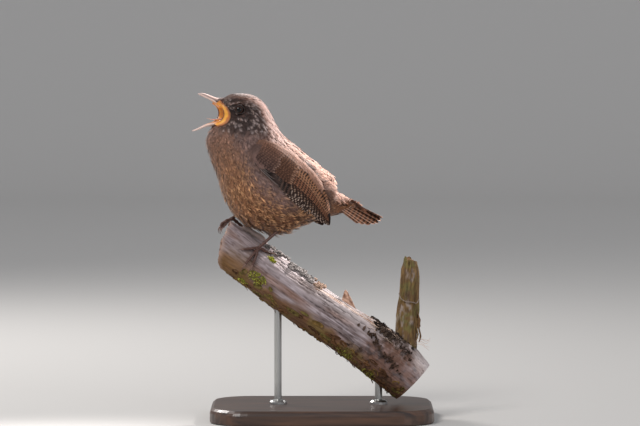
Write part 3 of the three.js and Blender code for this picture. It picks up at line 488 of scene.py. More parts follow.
def plume(name, P, F, N, length, width, colour_of, uv, mat, lift0, lift1, curve, count=6, camber=0.22, jitter=0.06, replaces=()):
    l, c, b, quads, tris = barbs(count)
    n, m = len(P), len(l)
    S = np.cross(N, F)
    fray = 1 + 0.10 * rng.standard_normal((n, b.max() + 1))[:, b]
    ll, cc = l[None, :] * np.where(l[None, :] > 0.3, fray, 1), c[None, :] * fray
    along, across = length[:, None] * ll, (width[:, None] / 2) * cc
    up = lerp(lift0[:, None], lift1[:, None], np.clip(ll, 0, 1.1) ** 0.75) - curve[:, None] * along ** 2 / 2 - camber * np.abs(across) * np.abs(cc) * 0.5
    up = up + jitter * rng.uniform(-1, 1, (n, b.max() + 1))[:, b] * ll
    X = P[:, None] + F[:, None] * along[..., None] + S[:, None] * across[..., None] + N[:, None] * up[..., None]
    col = colour_of(ll, cc, along, b)
    off = (np.arange(n) * m)[:, None, None]
    patch = np.stack([(ll - 0.5) * 0.003, cc * 0.0015], -1) + uv[:, None]
    return mesh_object(name, X, [(quads[None] + off).reshape(-1, 4), (tris[None] + off).reshape(-1, 3)], col, patch, mat, replaces)


def inside_polygon(x, z, poly):
    r = np.zeros(x.shape, bool)
    for (x0, z0), (x1, z1) in zip(poly, np.roll(poly, -1, axis=0)):
        hit = ((z0 > z) != (z1 > z)) & (x < (x1 - x0) * (z - z0) / (z1 - z0 + 1e-12) + x0)
        r ^= hit
    return r


def flank(X, z):
    x, y = X, 8.0
    for _ in range(6):
        y = half_width(x, z) or y
        x = X - y * math.sin(BODY_YAW)
    return x


WING_ROWS = []
for i, (uX, uz, lX, lz) in enumerate(WING):
    ux, lx = flank(uX, uz), flank(lX, lz)
    tip = {6: (8.4, 8.2), 7: (7.2, 7.2)}.get(i)
    yu, yl = tip if tip else (half_width(ux, uz) or 7, half_width(lx, lz) or 9)
    mid = (yu + yl) / 2 if tip else (half_width((ux + lx) / 2, (uz + lz) / 2) or (yu + yl) / 2)
    WING_ROWS.append([ux, uz, lx, lz, yu, yl, mid - (yu + yl) / 2])
WING_ROWS = np.array(WING_ROWS)
WING_POLY = np.vstack([WING_ROWS[:, 0:2], WING_ROWS[::-1, 2:4]])


def sparse(t, h, spacing):
    """Keeps candidates no closer than their spacing, in order."""
    gap = (np.asarray(spacing) ** 2).tolist()
    cells, keep, size = {}, [], 1.9
    near = [(a, b, c) for a in (0, -1, 1) for b in (0, -1, 1) for c in (0, -1, 1)]
    for i, (x, y, z) in enumerate(body(t, h).tolist()):
        a, b, c, s2 = int(x // size), int(y // size), int(z // size), gap[i]
        if not any((x - q[0]) ** 2 + (y - q[1]) ** 2 + (z - q[2]) ** 2 < s2 for da, db, dc in near for q in cells.get((a + da, b + db, c + dc), ())):
            cells.setdefault((a, b, c), []).append((x, y, z))
            keep.append(i)
    return np.array(keep)


def spacing_at(t):
    return np.interp(t, [0, 2, 4, 6, 9, 11, 12.3, 13.5, 15.5, 17], [1.2, 1.4, 1.6, 1.6, 1.4, 1.15, 0.98, 0.86, 0.66, 0.5])


n_try = 70000
ct, ch = rng.uniform(0.4, 16.75, n_try * 3), rng.uniform(0, 2 * math.pi, n_try * 3)
_, _, _, area = body_frame(ct, ch)
want = area / spacing_at(ct) ** 2
pick = rng.uniform(0, np.quantile(want, 0.995), len(ct)) < want
ct, ch = ct[pick][:n_try], ch[pick][:n_try]
keep = sparse(ct, ch, spacing_at(ct))
ct, ch = ct[keep], ch[keep]
cown = loft_own(SECTIONS, ct, ch)
near_wing = inside_polygon(cown[:, 0], cown[:, 2], WING_POLY) & (np.abs(cown[:, 1]) > 5)
# feathers may start a little under the wing's upper and front edges, where they overlap it
inner = WING_POLY.mean(0) + (WING_POLY - WING_POLY.mean(0)) * 0.86
near_wing &= inside_polygon(cown[:, 0], cown[:, 2], inner)
eye_gap = np.min([np.linalg.norm((cown - np.array([EYE["x"], s * half_width(EYE["x"], EYE["z"]), EYE["z"]])) * [1 / 2.35, 0.25, 1 / 2.1], axis=-1) for s in (-1, 1)], axis=0)
in_mouth = (cown[:, 0] < fold_x(cown[:, 2]) - 0.25) & (cown[:, 2] > 139.6) & (cown[:, 2] < 151.7)
v0 = (1 - np.cos(ch)) / 2
bare = (ct < 0.7) | ((ct < 2.0) & (v0 > 0.33) & (v0 < 0.74))
ok = ~near_wing & (eye_gap > 1) & ~in_mouth & ~bare
ct, ch, cown, eye_gap = ct[ok], ch[ok], cown[ok], eye_gap[ok]
P, F, N, _ = body_frame(ct, ch)
vv = (1 - np.cos(ch)) / 2
n = len(ct)
length = np.interp(ct, [0, 2, 4, 6, 9, 11, 12.3, 13.5, 15.5, 17], [6.6, 6.6, 6.4, 6.0, 5.0, 3.9, 3.0, 2.4, 1.9, 1.5]) * rng.uniform(0.86, 1.14, n)
length *= lerp(1.0, 0.62, smooth(2.2, 1.05, eye_gap))
width = length * lerp(0.56, 0.62, smooth(4, 9, ct)) * rng.uniform(0.85, 1.1, n)
length = length * (1 + 0.5 * smooth(2.0, 0.8, ct) * smooth(0.5, 0.25, vv))
depth = skin_depth(ct)
fluff = smooth(3.0, 5.0, ct) * smooth(8.5, 6.0, ct) * smooth(0.7, 0.95, vv) + 0.8 * smooth(2.4, 3.0, ct) * smooth(4.4, 3.4, ct) * smooth(0.12, 0.0, vv)
lift0, lift1 = -depth * 0.85, -0.05 - 0.55 * smooth(2.6, 1.6, ct) * smooth(0.4, 0.2, vv) + 0.18 * rng.standard_normal(n) * smooth(17, 10, ct) * 0.8 + 1.5 * fluff * rng.uniform(0, 1, n) ** 1.5
curve = np.interp(ct, [0, 3, 6, 10, 12, 17], [0.02, 0.035, 0.03, 0.035, 0.06, 0.09])
# the lie turns a little from feather to feather
ang = 0.13 * rng.standard_normal(n) + 0.3 * fluff * rng.standard_normal(n)
S0 = np.cross(N, F)
F = unit(F * np.cos(ang)[:, None] + S0 * np.sin(ang)[:, None])
arc0, shade, warm = arc_at(ct, ch), rng.uniform(0.86, 1.12, n), rng.uniform(-0.05, 0.05, n)


speed = np.linalg.norm(body(ct + 0.02, ch) - body(ct - 0.02, ch), axis=-1) / 0.04
own_step = unit(loft_own(SECTIONS, ct - 0.05, ch) - loft_own(SECTIONS, ct + 0.05, ch))
odd = rng.uniform(0, 1, n)


def slot_shade(Q):
    """Painted shade in the gap between the back and the folded wing's inner feathers."""
    a, b = np.array([-9.6, 125.6]), np.array([-0.6, 115.6])
    r = Q[..., [0, 2]] - a
    k = np.clip(r @ (b - a) / ((b - a) @ (b - a)), 0, 1)
    d = np.linalg.norm(r - k[..., None] * (b - a), axis=-1)
    return np.exp(-(d / (0.25 + 0.75 * np.sin(math.pi * np.clip(k, 0.02, 0.98)))) ** 2) * (Q[..., 1] < -3)


def coat_colour(sel):
    def f(ll, cc, along, b):
        k = len(sel)
        rep = lambda a: np.repeat(a[sel][:, None], ll.shape[1], 1)
        Pr = rep(P)
        te = np.clip(rep(ct) - along / rep(speed), 0, 17)
        edge = (1.02 - ll - 0.20 * cc ** 2) * rep(length)
        col = vane_marking(te, rep(ch), Pr, edge, ll, cc, rep(odd))
        col = face_marks(rep(cown) + rep(own_step) * along[..., None], col)
        tip = smooth(0.86, 1.02, ll) * rep(smooth(0.0, 2.6, 3.4 - ct)) * rep(smooth(0.6, 0.8, vv))
        col = mixc(col, lin(225, 205, 190), np.clip(0.75 * tip, 0, 1))
        # painted shade: the gap between back and wing painted near black on the feathers
        col = mixc(col, lin(30, 20, 17), np.clip(0.85 * slot_shade(Pr + rep(F) * along[..., None]), 0, 1))
        # painted shade: each feather darker towards its root, where the feathers over it shade it; also a random tone
        # for each feather and barb
        col = col * (rep(shade) * (1 + 0.10 * rng.standard_normal((k, b.max() + 1))[:, b]) * lerp(0.5, 1.0, smooth(0.1, 0.6, ll)))[..., None]
        w = rep(warm)
        return col * np.stack([1 + w, 1 + 0 * w, 1 - w], -1)
    return f


parts = {"plumage_head": ct >= 12.0, "plumage_breast": (ct < 12.0) & (vv > 0.5), "plumage_back": (ct < 12.0) & (vv <= 0.5)}
for name, mask in parts.items():
    sel = np.nonzero(mask)[0]
    small = name == "plumage_head"
    plume(name, P[sel], F[sel], N[sel], length[sel], width[sel], coat_colour(sel), skin_uv(ct[sel], ch[sel]), M_FEATHER,
          lift0[sel], lift1[sel], curve[sel], count=5 if small else 7, jitter=0.04 if small else 0.09)
    print(name, len(sel), "feathers")

# tiny feathers over the roots of the two mandibles
for part, rows, m, lo, hi, mid, half, tint in (("brow", UPPER_BILL, 150, 0.0, 1.15, 0.0, 1.75, lin(92, 62, 52)), ("chin", LOWER_BILL, 110, 0.0, 1.0, math.pi, 1.2, lin(112, 76, 58))):
    rows = np.array(rows)
    k, q = rng.uniform(lo, hi, m), mid + rng.uniform(-half, half, m)
    on = rng.uniform(0, 1, m) < 1.15 - 0.75 * k / hi - 0.35 * (np.abs(q - mid) / half) ** 2
    k, q = k[on], q[on]
    m = len(k)
    p_, f_, n_, _ = body_frame(k, q, rows)
    f_ = unit(f_ + 0.12 * rng.standard_normal((m, 3)))
    f_ = unit(f_ - n_ * np.sum(f_ * n_, -1, keepdims=True))
    ln = rng.uniform(1.2, 1.9, m)
    tone = rng.uniform(0.55, 1.25, m)
    # painted shade: each tiny feather darker towards its root; its tone is random
    plume("plumage_" + part, p_, f_, n_, ln, ln * 0.5, lambda ll, cc, al, b: np.broadcast_to(tint, (*ll.shape, 3)) * (tone[:, None] * (1 + 0.1 * rng.standard_normal(ll.shape)) * lerp(0.55, 1.05, ll))[..., None],
          skin_uv(16.2 + 0.5 * k / hi, q), M_FEATHER, np.full(m, -0.05), np.full(m, 0.30), np.full(m, 0.02), count=4, jitter=0.03)


# ------------------------------------------------------------------ vanes: wing and tail feathers
def vane(path, normal, left, right, rows=22, cols=9, colour_of=None, tipround=0.82, camber=0.12, uv_box=(0, 0, 1, 1), width_in=None):
    """One flight feather: a shaft along path with a web left and right, in millimetres, and a rounded end. Returns verts, faces, colours, uvs."""
    path, normal = np.asarray(path, float), unit(np.asarray(normal, float))
    l = np.linspace(0, 1, rows)
    seg = np.concatenate([[0], np.cumsum(np.linalg.norm(np.diff(path, axis=0), axis=-1))])
    total = seg[-1]
    at = lambda arr: np.stack([np.interp(l * total, seg, arr[:, k]) for k in range(3)], -1)
    p, n = at(path), unit(at(normal))
    d = unit(np.gradient(p, axis=0))
    s = unit(np.cross(n, d))
    c = np.linspace(-1, 1, cols)
    grow = 0.5 + 0.5 * smooth(0, 0.28, l)
    end = np.sqrt(np.clip(1 - (np.clip((l - tipround) / (1.0 - tipround), 0, 1)) ** 2, 0.012, 1))
    w = grow * end
    W = np.where(c[None] < 0, left * np.abs(c)[None], right * np.abs(c)[None]) * w[:, None]
    sign = np.sign(c)[None]
    ragged = 1 + 0.02 * rng.standard_normal((rows, cols)) * (np.abs(c)[None] > 0.9)
    sweep = np.abs(W) * 0.25 * (1 - smooth(0.9, 1.0, l))[:, None]
    X = p[:, None] + s[:, None] * (sign * W * ragged)[..., None] + d[:, None] * sweep[..., None] - n[:, None] * (camber * np.abs(W) ** 1.5 * 0.35)[..., None]
    X = X + n[:, None] * (0.05 * (np.abs(c)[None] < 0.01) * np.ones((rows, 1)))[..., None]
    ll, cc = np.repeat(l[:, None], cols, 1), np.repeat(c[None], rows, 0)
    col = colour_of(ll, cc, ll * total, X)
    u0, v0, u1, v1 = uv_box
    uv = np.stack([lerp(u0, u1, ll), lerp(v0, v1, (cc + 1) / 2)], -1)
    return X.reshape(-1, 3), grid_faces(rows, cols), col.reshape(-1, 3), uv.reshape(-1, 2)


def gather(name, items, mat, replaces=(), closed=True):
    V, Fc, C, U, off = [], [], [], [], 0
    for X, f, c, u in items:
        V.append(X), C.append(c), U.append(u)
        Fc.append(f + off)
        off += len(X)
    return mesh_object(name, np.vstack(V), [np.vstack(Fc)], np.vstack(C), np.vstack(U), mat, replaces)


def wing_surface(s, t, side, lift=0.0):
    s, t = np.asarray(s, float), np.asarray(t, float)
    lift = np.asarray(lift, float)

    def at(a, b):
        r = row_at(WING_ROWS, np.clip(a, 0, 1) * (len(WING_ROWS) - 1))
        b1 = np.clip(b, -0.1, 1.1)
        return np.stack([lerp(r[..., 0], r[..., 2], b1), lerp(r[..., 4], r[..., 5], b1) + r[..., 6] * 4 * b1 * (1 - b1), lerp(r[..., 1], r[..., 3], b1)], -1)
    e = 0.01
    p = at(s, t)
    nn = unit(np.cross(at(s + e, t) - at(s - e, t), at(s, t + e) - at(s, t - e)))
    nn = np.where(nn[..., 1:2] < 0, -nn, nn)
    q = p + nn * lift[..., None]
    droop = 0.8 if side > 0 else 0.0
    q = q - np.array([0, 0, 1.0]) * (droop * smooth(0.3, 1, s))[..., None]
    mir = np.array([1, side, 1.0])
    a, b = turn(q * mir), turn((q + nn) * mir)
    return a, unit(b - a)


def barred(period, light, dark, edge=None, phase=0.0, duty=0.1, slant=0.35, outer=-1, base=None, fade=0.25, soft=0.3):
    """Bars across a vane. edge colours the rim of the outer web; outer is the side of the outer web."""
    def f(ll, cc, mm, X):
        ph = mm / period + slant * np.abs(cc) + phase + 0.08 * noise(X, 1.1, 71)
        b = smooth(-duty - soft, -duty + soft, np.sin(2 * math.pi * ph))
        col = mixc(np.broadcast_to(light, X.shape), dark, b)
        if base is not None:
            col = mixc(col, base, np.clip(smooth(0.1, -0.2, cc * outer), 0, 1))
        if edge is not None:
            col = mixc(col, edge, smooth(0.72, 0.98, cc * outer) * 0.7)
        col = mixc(col, dark * 0.8, 0.75 * np.exp(-(cc / 0.07) ** 2))
        col = col * (1 + fade * 0.5 * noise(X * [1, 1, 1], 2.3, 77))[..., None]
        return col
    return f


RUFOUS, UMBER, BUFF, BLACK = lin(104, 64, 44), lin(42, 28, 23), lin(196, 168, 148), lin(28, 19, 16)
for side, label in ((-1, "left"), (1, "right")):
    items, lay = [], 0.12
    strips = 10 + 6 + 3 + 9 + 7 + 3 + 8 + 30
    slot_no = 0

    def strip():
        """A strip of the bake map of its own for each feather."""
        global slot_no
        k = slot_no
        slot_no += 1
        col, row = divmod(k, 34)
        return (0.02 + 0.32 * col, 0.02 + 0.028 * row, 0.32 + 0.32 * col, 0.043 + 0.028 * row)

    slot_no = 0
    outer = 1 if side < 0 else -1

    def feather(s0, t0, s1, t1, out_web, in_web, lift_a, lift_b, paint, bend=0.0, rows=22, tipround=0.82, cols=9):
        k = np.linspace(0, 1, 14)
        s, t = lerp(s0, s1, k), lerp(t0, t1, k) + bend * np.sin(math.pi * k)
        p, nn = wing_surface(s, t, side, lerp(lift_a, lift_b, k))
        # which way is the lower edge of the wing, across the shaft?
        down = wing_surface(s, t + 0.05, side, lerp(lift_a, lift_b, k))[0] - p
        across = np.cross(nn, np.gradient(p, axis=0))
        low = 1 if np.sum(down * across) > 0 else -1
        left, right = (in_web, out_web) if low > 0 else (out_web, in_web)
        items.append(vane(p, nn, left, right, rows, cols, paint(low), tipround, uv_box=strip()))

    P_TIP = [0.70, 0.84, 0.925, 0.965, 0.99, 1.0, 0.985, 0.965, 0.95, 0.935]
    for k in range(10):
        t0, t1 = 0.90 - 0.038 * k, [0.955, 0.93, 0.90, 0.86, 0.80, 0.70, 0.62, 0.55, 0.48, 0.42][k]
        paint = lambda low, k=k: barred(2.25, lin(184, 160, 146) if k < 5 else (lin(150, 122, 104) if k < 7 else lin(112, 78, 60)), UMBER, None, 0.41 * k + 0.07 * math.sin(9 * k), 0.70, 0.12, low, UMBER * 0.85, soft=0.18)
        feather(0.26, t0, P_TIP[k], t1, 1.0, 2.6, 0.10 + 0.05 * k, 0.05 + 0.055 * k, paint, 0.015, 90, 0.86)
    for k in range(6):
        paint = lambda low, k=k: barred(1.75, lin(136, 88, 64), UMBER, lin(158, 112, 86), 0.2 * k, 0.3, 0.3, low, BLACK)
        feather(0.24, 0.56 - 0.055 * k, 0.925 - 0.014 * k, 0.40 - 0.05 * k, 1.25, 2.6, 0.62 + 0.05 * k, 0.60 + 0.055 * k, paint, 0.01, 84, 0.86)
    for k, (s1, t1) in enumerate([(0.86, 0.15), (0.76, 0.10), (0.64, 0.07)]):
        paint = lambda low, k=k: barred(1.55, lin(150, 104, 76), BLACK, lin(166, 124, 98), 0.3 * k, -0.05, 0.3, low, soft=0.3)
        feather(0.20, 0.30 - 0.06 * k, s1, t1, 2.4, 2.3, 0.98 + 0.07 * k, 0.98 + 0.07 * k, paint, 0.0, 72, 0.78)
    # primary coverts and the bastard wing, dark with grey edges
    for k in range(7):
        paint = lambda low, k=k: barred(2.2, lin(92, 68, 58), BLACK, lin(120, 104, 98), 0.15 * k, 0.45, 0.3, low)
        feather(0.17, 0.93 - 0.035 * k, 0.47 - 0.012 * k, 0.93 - 0.04 * k, 0.9, 1.8, 0.5 + 0.04 * k, 0.48 + 0.04 * k, paint, 0.0, 40, 0.7, 7)
    for k in range(3):
        paint = lambda low, k=k: barred(9.0, lin(58, 44, 40), BLACK, lin(160, 148, 144), 0.2 * k, 0.0, 0.2, low)
        feather(0.11, 0.92 - 0.05 * k, 0.37 - 0.055 * k, 0.93 - 0.05 * k, 1.0, 1.5, 0.85 + 0.06 * k, 0.83 + 0.06 * k, paint, 0.0, 14, 0.7, 7)
    # greater and middle coverts, each with a pale spot at the end
    def covert(period, base, dark, spot):
        def paint(low):
            g = barred(period * rng.uniform(0.95, 1.3), base * rng.uniform(0.82, 1.2), dark * 0.74 + base * 0.26, None, rng.uniform(), 0.1, rng.uniform(0.1, 0.6), low, fade=0.9, soft=0.65)
            def f(ll, cc, mm, X):
                return mixc(g(ll, cc, mm, X), spot, 0.7 * smooth(0.86, 0.95, ll) * smooth(0.5, 0.1, np.abs(cc - 0.2 * low)))
            return f
        return paint
    for k in range(11):
        f = k / 10
        feather(lerp(0.17, 0.13, f), lerp(0.70, 0.12, f), lerp(0.43, 0.40, f) + 0.012 * math.sin(3 * k), lerp(0.66, 0.13, f), 1.25, 1.6, 1.02 + 0.03 * k, 1.0 + 0.03 * k,
                covert(1.35, lin(lerp(92, 128, f), lerp(62, 88, f), lerp(48, 66, f)), UMBER, lin(176, 136, 112)), 0.0, 40, 0.62, 7)
    for k in range(10):
        f = k / 9
        feather(lerp(0.10, 0.06, f), lerp(0.80, 0.12, f), lerp(0.285, 0.25, f) + 0.01 * math.sin(5 * k), lerp(0.76, 0.10, f), 1.2, 1.4, 1.24 + 0.02 * k, 1.2 + 0.02 * k,
                covert(1.25, lin(lerp(88, 132, f), lerp(66, 94, f), lerp(60, 76, f)), lin(lerp(44, 72, f), lerp(32, 50, f), lerp(29, 42, f)), lin(160, 130, 114)), 0.0, 34, 0.55, 7)
    gather("wing_feathers_" + label, items, M_FLIGHT, ("wing_" + label,))
    # lesser coverts and the feathers of the shoulder, small and soft
    m = 330
    s_, t_ = rng.uniform(-0.015, 0.24, m * 2), rng.uniform(0.0, 1.0, m * 2)
    keep2 = (t_ < 0.85 + 0.6 * s_) & (s_ < 0.13 + 0.13 * (1 - t_))
    s_, t_ = s_[keep2][:m], t_[keep2][:m]
    extra_s, extra_t = rng.uniform(0.02, 0.60, 300), rng.uniform(-0.05, 1.0, 300) ** 1
    extra_t = -0.05 + 0.20 * rng.uniform(0, 1, 300) ** 1.3 * lerp(1.0, 0.5, extra_s / 0.6)
    s_, t_ = np.concatenate([s_, extra_s]), np.concatenate([t_, extra_t])
    order = np.argsort(-s_)
    s_, t_ = s_[order], t_[order]
    q, nn = wing_surface(s_, t_, side, np.interp(s_, [0, 0.05, 0.25, 0.6], [0.15, 0.95, 1.35, 1.2]))
    q2, _ = wing_surface(s_ + 0.04, t_ + 0.015, side, np.interp(s_, [0, 0.05, 0.25, 0.6], [0.15, 0.95, 1.35, 1.2]))
    ff = unit(q2 - q)
    ff = unit(ff - nn * np.sum(ff * nn, -1, keepdims=True))
    mm_ = len(s_)
    len2 = np.interp(s_, [0, 0.2, 0.6], [3.0, 4.2, 4.6]) * rng.uniform(0.85, 1.15, mm_)
    rnd, rnd2 = rng.uniform(0.85, 1.15, mm_), rng.uniform(0, 1, mm_)

    def shoulder(ll, cc, along, b):
        base = mixc(np.broadcast_to(lin(114, 88, 81), (*ll.shape, 3)), lin(152, 110, 90), np.repeat(smooth(0.4, 0.05, t_)[:, None], ll.shape[1], 1))
        bar = smooth(0.1, 0.8, np.sin(2 * math.pi * (along / 1.7 + rnd2[:, None])))
        c_ = mixc(base, lin(54, 38, 32), 0.55 * bar)
        # painted shade: each feather darker towards its root, where the feathers over it shade it; the tone is random
        return c_ * (rnd[:, None] * (1 + 0.08 * rng.standard_normal(ll.shape)) * lerp(0.6, 1, smooth(0.1, 0.6, ll)))[..., None]
    th_side = math.pi * (1.5 if side < 0 else 0.5)
    uvs = skin_uv(9.5 - 7 * s_, th_side + 0.9 * (0.5 - t_) * side)
    plume("shoulder_feathers_" + label, q, ff, nn, len2, len2 * 0.6, shoulder, uvs, M_FEATHER, np.full(mm_, -0.25), np.full(mm_, 0.12), np.full(mm_, 0.03), count=6)

# tail: six pairs, the middle pair on top
items = []
slot_no = 0
for pair in range(5, -1, -1):
    for side in (-1, 1):
        spread, pitch = math.radians(side * (1.0 + 1.5 * pair + 0.5 * math.sin(5.0 * pair))), math.radians(TAIL["pitch"] - 2.1 * pair - 0.5 * math.sin(4.0 * pair + side))
        long = TAIL["length"] - 0.3 * pair - 0.28 * pair * pair
        d = np.array([math.cos(pitch) * math.cos(spread), math.sin(spread), math.sin(pitch)])
        roll = math.radians(side * (-10 - 9 * pair))
        a0 = np.array([-math.sin(spread), math.cos(spread), 0])
        across = a0 * math.cos(roll) + np.cross(d, a0) * math.sin(roll)
        nn = np.cross(d, across)
        nn = nn if nn[2] > 0 else -nn
        root = np.array([TAIL["x"], side * 0.5 * pair, TAIL["z"] - 0.62 * pair])
        k = np.linspace(0, 1, 12)
        own_path = root + d * (long * k)[:, None] - nn * (0.5 * k * k)[:, None] * (1 if nn[2] > 0 else -1)
        p = turn(own_path)
        n3 = unit(turn(own_path + nn) - p)
        low = 1 if side > 0 else -1
        cr = np.cross(n3[0], p[1] - p[0])
        o = 1 if np.sign(cr[1]) == side else -1
        bars_t = barred(2.1, lin(132, 86, 60), lin(66, 43, 33), lin(196, 158, 136), 0.17 * pair + 0.05 * side, 0.05, 0.4, o)

        def paint(ll, cc, mm, X, bars_t=bars_t, o=o, pair=pair):
            c_ = mixc(bars_t(ll, cc, mm, X), lin(206, 164, 142), 0.75 * smooth(0.74, 0.92, np.abs(cc)))
            return mixc(c_, lin(40, 26, 21), np.clip((0.85 if pair > 2 else 0.15) * smooth(-0.15, -0.55, cc * o) + (0.55 if pair > 2 else 0.2) * np.exp(-((cc * o - 0.05) / 0.22) ** 2), 0, 1))
        half = TAIL["width"] / 2
        left, right = (half * 1.15, half * 0.85) if o > 0 else (half * 0.85, half * 1.15)
        items.append(vane(p, n3, left, right, 90, 11, paint, 0.88, uv_box=(0.02 + 0.32 * (pair // 2), 0.02 + 0.16 * (2 * (pair % 2) + (side > 0)), 0.32 + 0.32 * (pair // 2), 0.16 + 0.16 * (2 * (pair % 2) + (side > 0)))))
gather("tail_feathers", items, M_FLIGHT, ("tail",))


# ------------------------------------------------------------------ tubes for legs, toes, claws
def spline(points, n):
    pts = np.asarray(points, float)
    return row_at(pts, np.linspace(0, len(pts) - 1, n))


def tube(points, radius, colour_of, n=40, around=20, flat=1.0, up=(0, 0, 1)):
    p = spline(points, n)
    d = unit(np.gradient(p, axis=0))
    a = unit(np.cross(d, np.broadcast_to(np.array(up, float), d.shape)))
    b = unit(np.cross(a, d))
    k = np.linspace(0, 1, n)
    q = np.linspace(0, 2 * math.pi, around, endpoint=False)
    r = radius(k[:, None], q[None]) * np.ones((n, around))
    X = p[:, None] + a[:, None] * (r * np.cos(q)[None])[..., None] + b[:, None] * (r * flat * np.sin(q)[None])[..., None]
    col = colour_of(np.repeat(k[:, None], around, 1), np.repeat(q[None], n, 0), X)
    V = np.vstack([X.reshape(-1, 3), p[0], p[-1]])
    C = np.vstack([col.reshape(-1, 3), col[0].mean(0), col[-1].mean(0)])
    j = np.arange(around)
    caps = np.vstack([np.stack([(j + 1) % around, j, np.full(around, n * around)], -1),
                      np.stack([(n - 1) * around + j, (n - 1) * around + (j + 1) % around, np.full(around, n * around + 1)], -1)])
    return V, grid_faces(n, around, wrap=True), caps, C


def gather_tubes(name, items, mat, replaces=()):
    V, quads, tris, C, off = [], [], [], [], 0
    for X, q, t, c in items:
        V.append(X), C.append(c), quads.append(q + off), tris.append(t + off)
        off += len(X)
    return mesh_object(name, np.vstack(V), [np.vstack(quads), np.vstack(tris)], np.vstack(C), None, mat, replaces)


def branch_frame(t):
    t = np.asarray(t, float)
    top = len(BRANCH) - 1
    r = row_at(BRANCH, np.clip(t, 0, top))
    a, b = row_at(BRANCH, np.clip(t - 0.01, 0, top)), row_at(BRANCH, np.clip(t + 0.01, 0, top))
    d = unit(np.stack([b[..., 0] - a[..., 0], 0 * t, b[..., 1] - a[..., 1]], -1))
    p = np.stack([r[..., 0], 0 * t, r[..., 1]], -1)
    return p, r[..., 2], d, np.stack([-d[..., 2], 0 * t, d[..., 0]], -1)


def branch_point(t, deg, lift=0.0):
    t, a = np.asarray(t, float), np.radians(deg)
    p, r, _, up = branch_frame(t)
    uneven = 0.35 * np.sin(3 * a + 1.3 * t) + 0.28 * np.sin(2 * a - 2.1 * t + 1) + 0.2 * np.sin(5 * a + 0.9 * t)
    k = (r + uneven + lift)
    return p + up * (k * np.cos(a))[..., None] + np.array([0, -1.0, 0]) * (k * np.sin(a))[..., None]


LEG, SCUTE, PAD = lin(70, 43, 36), lin(122, 88, 76), lin(84, 55, 46)


def scaly(period, n_bands):
    def f(k, q, X):
        front = smooth(0.1, 0.6, np.sin(q))
        ring = smooth(0.55, 0.95, np.sin(2 * math.pi * k * n_bands))
        col = mixc(np.broadcast_to(LEG, X.shape), SCUTE, 0.6 * ring * (0.4 + 0.6 * smooth(-0.3, 0.4, noise(X, 1.1, 83))))
        col = mixc(col, PAD, 0.5 * (1 - front))
        return col * (1 + 0.12 * noise(X, 2.5, 81))[..., None]
    return f


def toe_radius(k, q):
    return TOE_R * (1.18 - 0.30 * k) * (1 + 0.13 * np.sin(k * 19 + 0.4) + 0.05 * np.sin(k * 92)) * (1 + 0.07 * np.sin(q + math.pi))


L_JOINT = (1.65, 45, 1.5)
L_TOES = [((1.40, 70), (1.29, 78)), ((1.62, 95), (1.62, 114)), ((1.76, 89), (1.77, 106)), ((1.95, 27), (2.12, 20))]


def left_path(to):
    out = []
    for i in range(9):
        f = i / 8
        lift = lerp(L_JOINT[2], TOE_R + 0.12, float(smooth(0, 0.6, f))) + 0.55 * math.sin(math.pi * f) * (1 - f)
        out.append(branch_point(lerp(L_JOINT[0], to[0], f), lerp(L_JOINT[1], to[1], f), lift))
    return np.array(out)


def claw_colour(k, q, X):
    return mixc(np.broadcast_to(lin(120, 92, 82), X.shape), lin(64, 46, 42), smooth(0.2, 1, k))


def blob(p, r, col, around=18, rings=12, scale=(1, 1, 1)):
    a, b = np.meshgrid(np.linspace(0, math.pi, rings), np.linspace(0, 2 * math.pi, around, endpoint=False), indexing="ij")
    X = np.stack([np.sin(a) * np.cos(b), np.sin(a) * np.sin(b), np.cos(a)], -1) * r * np.array(scale) + np.asarray(p)
    c = np.broadcast_to(col, X.shape)
    return X.reshape(-1, 3), grid_faces(rings, around, wrap=True), np.zeros((0, 3), int), c.reshape(-1, 3)


joint_l = branch_point(*L_JOINT)
left_leg = [tube([joint_l, (-17.4 * 0.5 + joint_l[0] * 0.5, (-7.0 + joint_l[1]) / 2, (93.0 + joint_l[2]) / 2), (-17.4, -7.0, 93.0), (-15.6, -6.0, 96.0)],
                 lambda k, q: TARSUS_R * (1 + 0.18 * smooth(0.12, 0, k) + 0.25 * smooth(0.55, 0.72, k)) * (1 + 0.045 * np.sin(k * 2 * math.pi * 15) * smooth(-0.2, 0.5, np.sin(q))), scaly(1, 15), 110, 22)]
left_leg.append(blob(joint_l, 0.98, LEG))
gather_tubes("leg_skin_left", left_leg, M_LEG, ("leg_left",))
gather_tubes("foot_skin_left", [tube(left_path(t), toe_radius, scaly(1, 9), 70, 18) for t, _ in L_TOES], M_LEG, ("foot_left",))
claws_l = []
for t, c in L_TOES:
    p = left_path(t)
    end, far = p[-1] + unit(p[-1] - p[-2]) * 0.02, branch_point(c[0], c[1], 0.32)
    bow = unit(branch_point(c[0], c[1], 4.0) - far)
    claws_l.append(tube([end - unit(p[-1] - p[-2]) * 0.25, lerp(end, far, 0.33) + bow * 0.55, lerp(end, far, 0.7) + bow * 0.5, far], lambda k, q: lerp(CLAW_R * 1.1, 0.06, k ** 0.8) + 0 * q, claw_colour, 24, 12))
gather_tubes("claws_left", claws_l, M_HORN, tuple("claw_left_%d" % i for i in range(1, 5)))

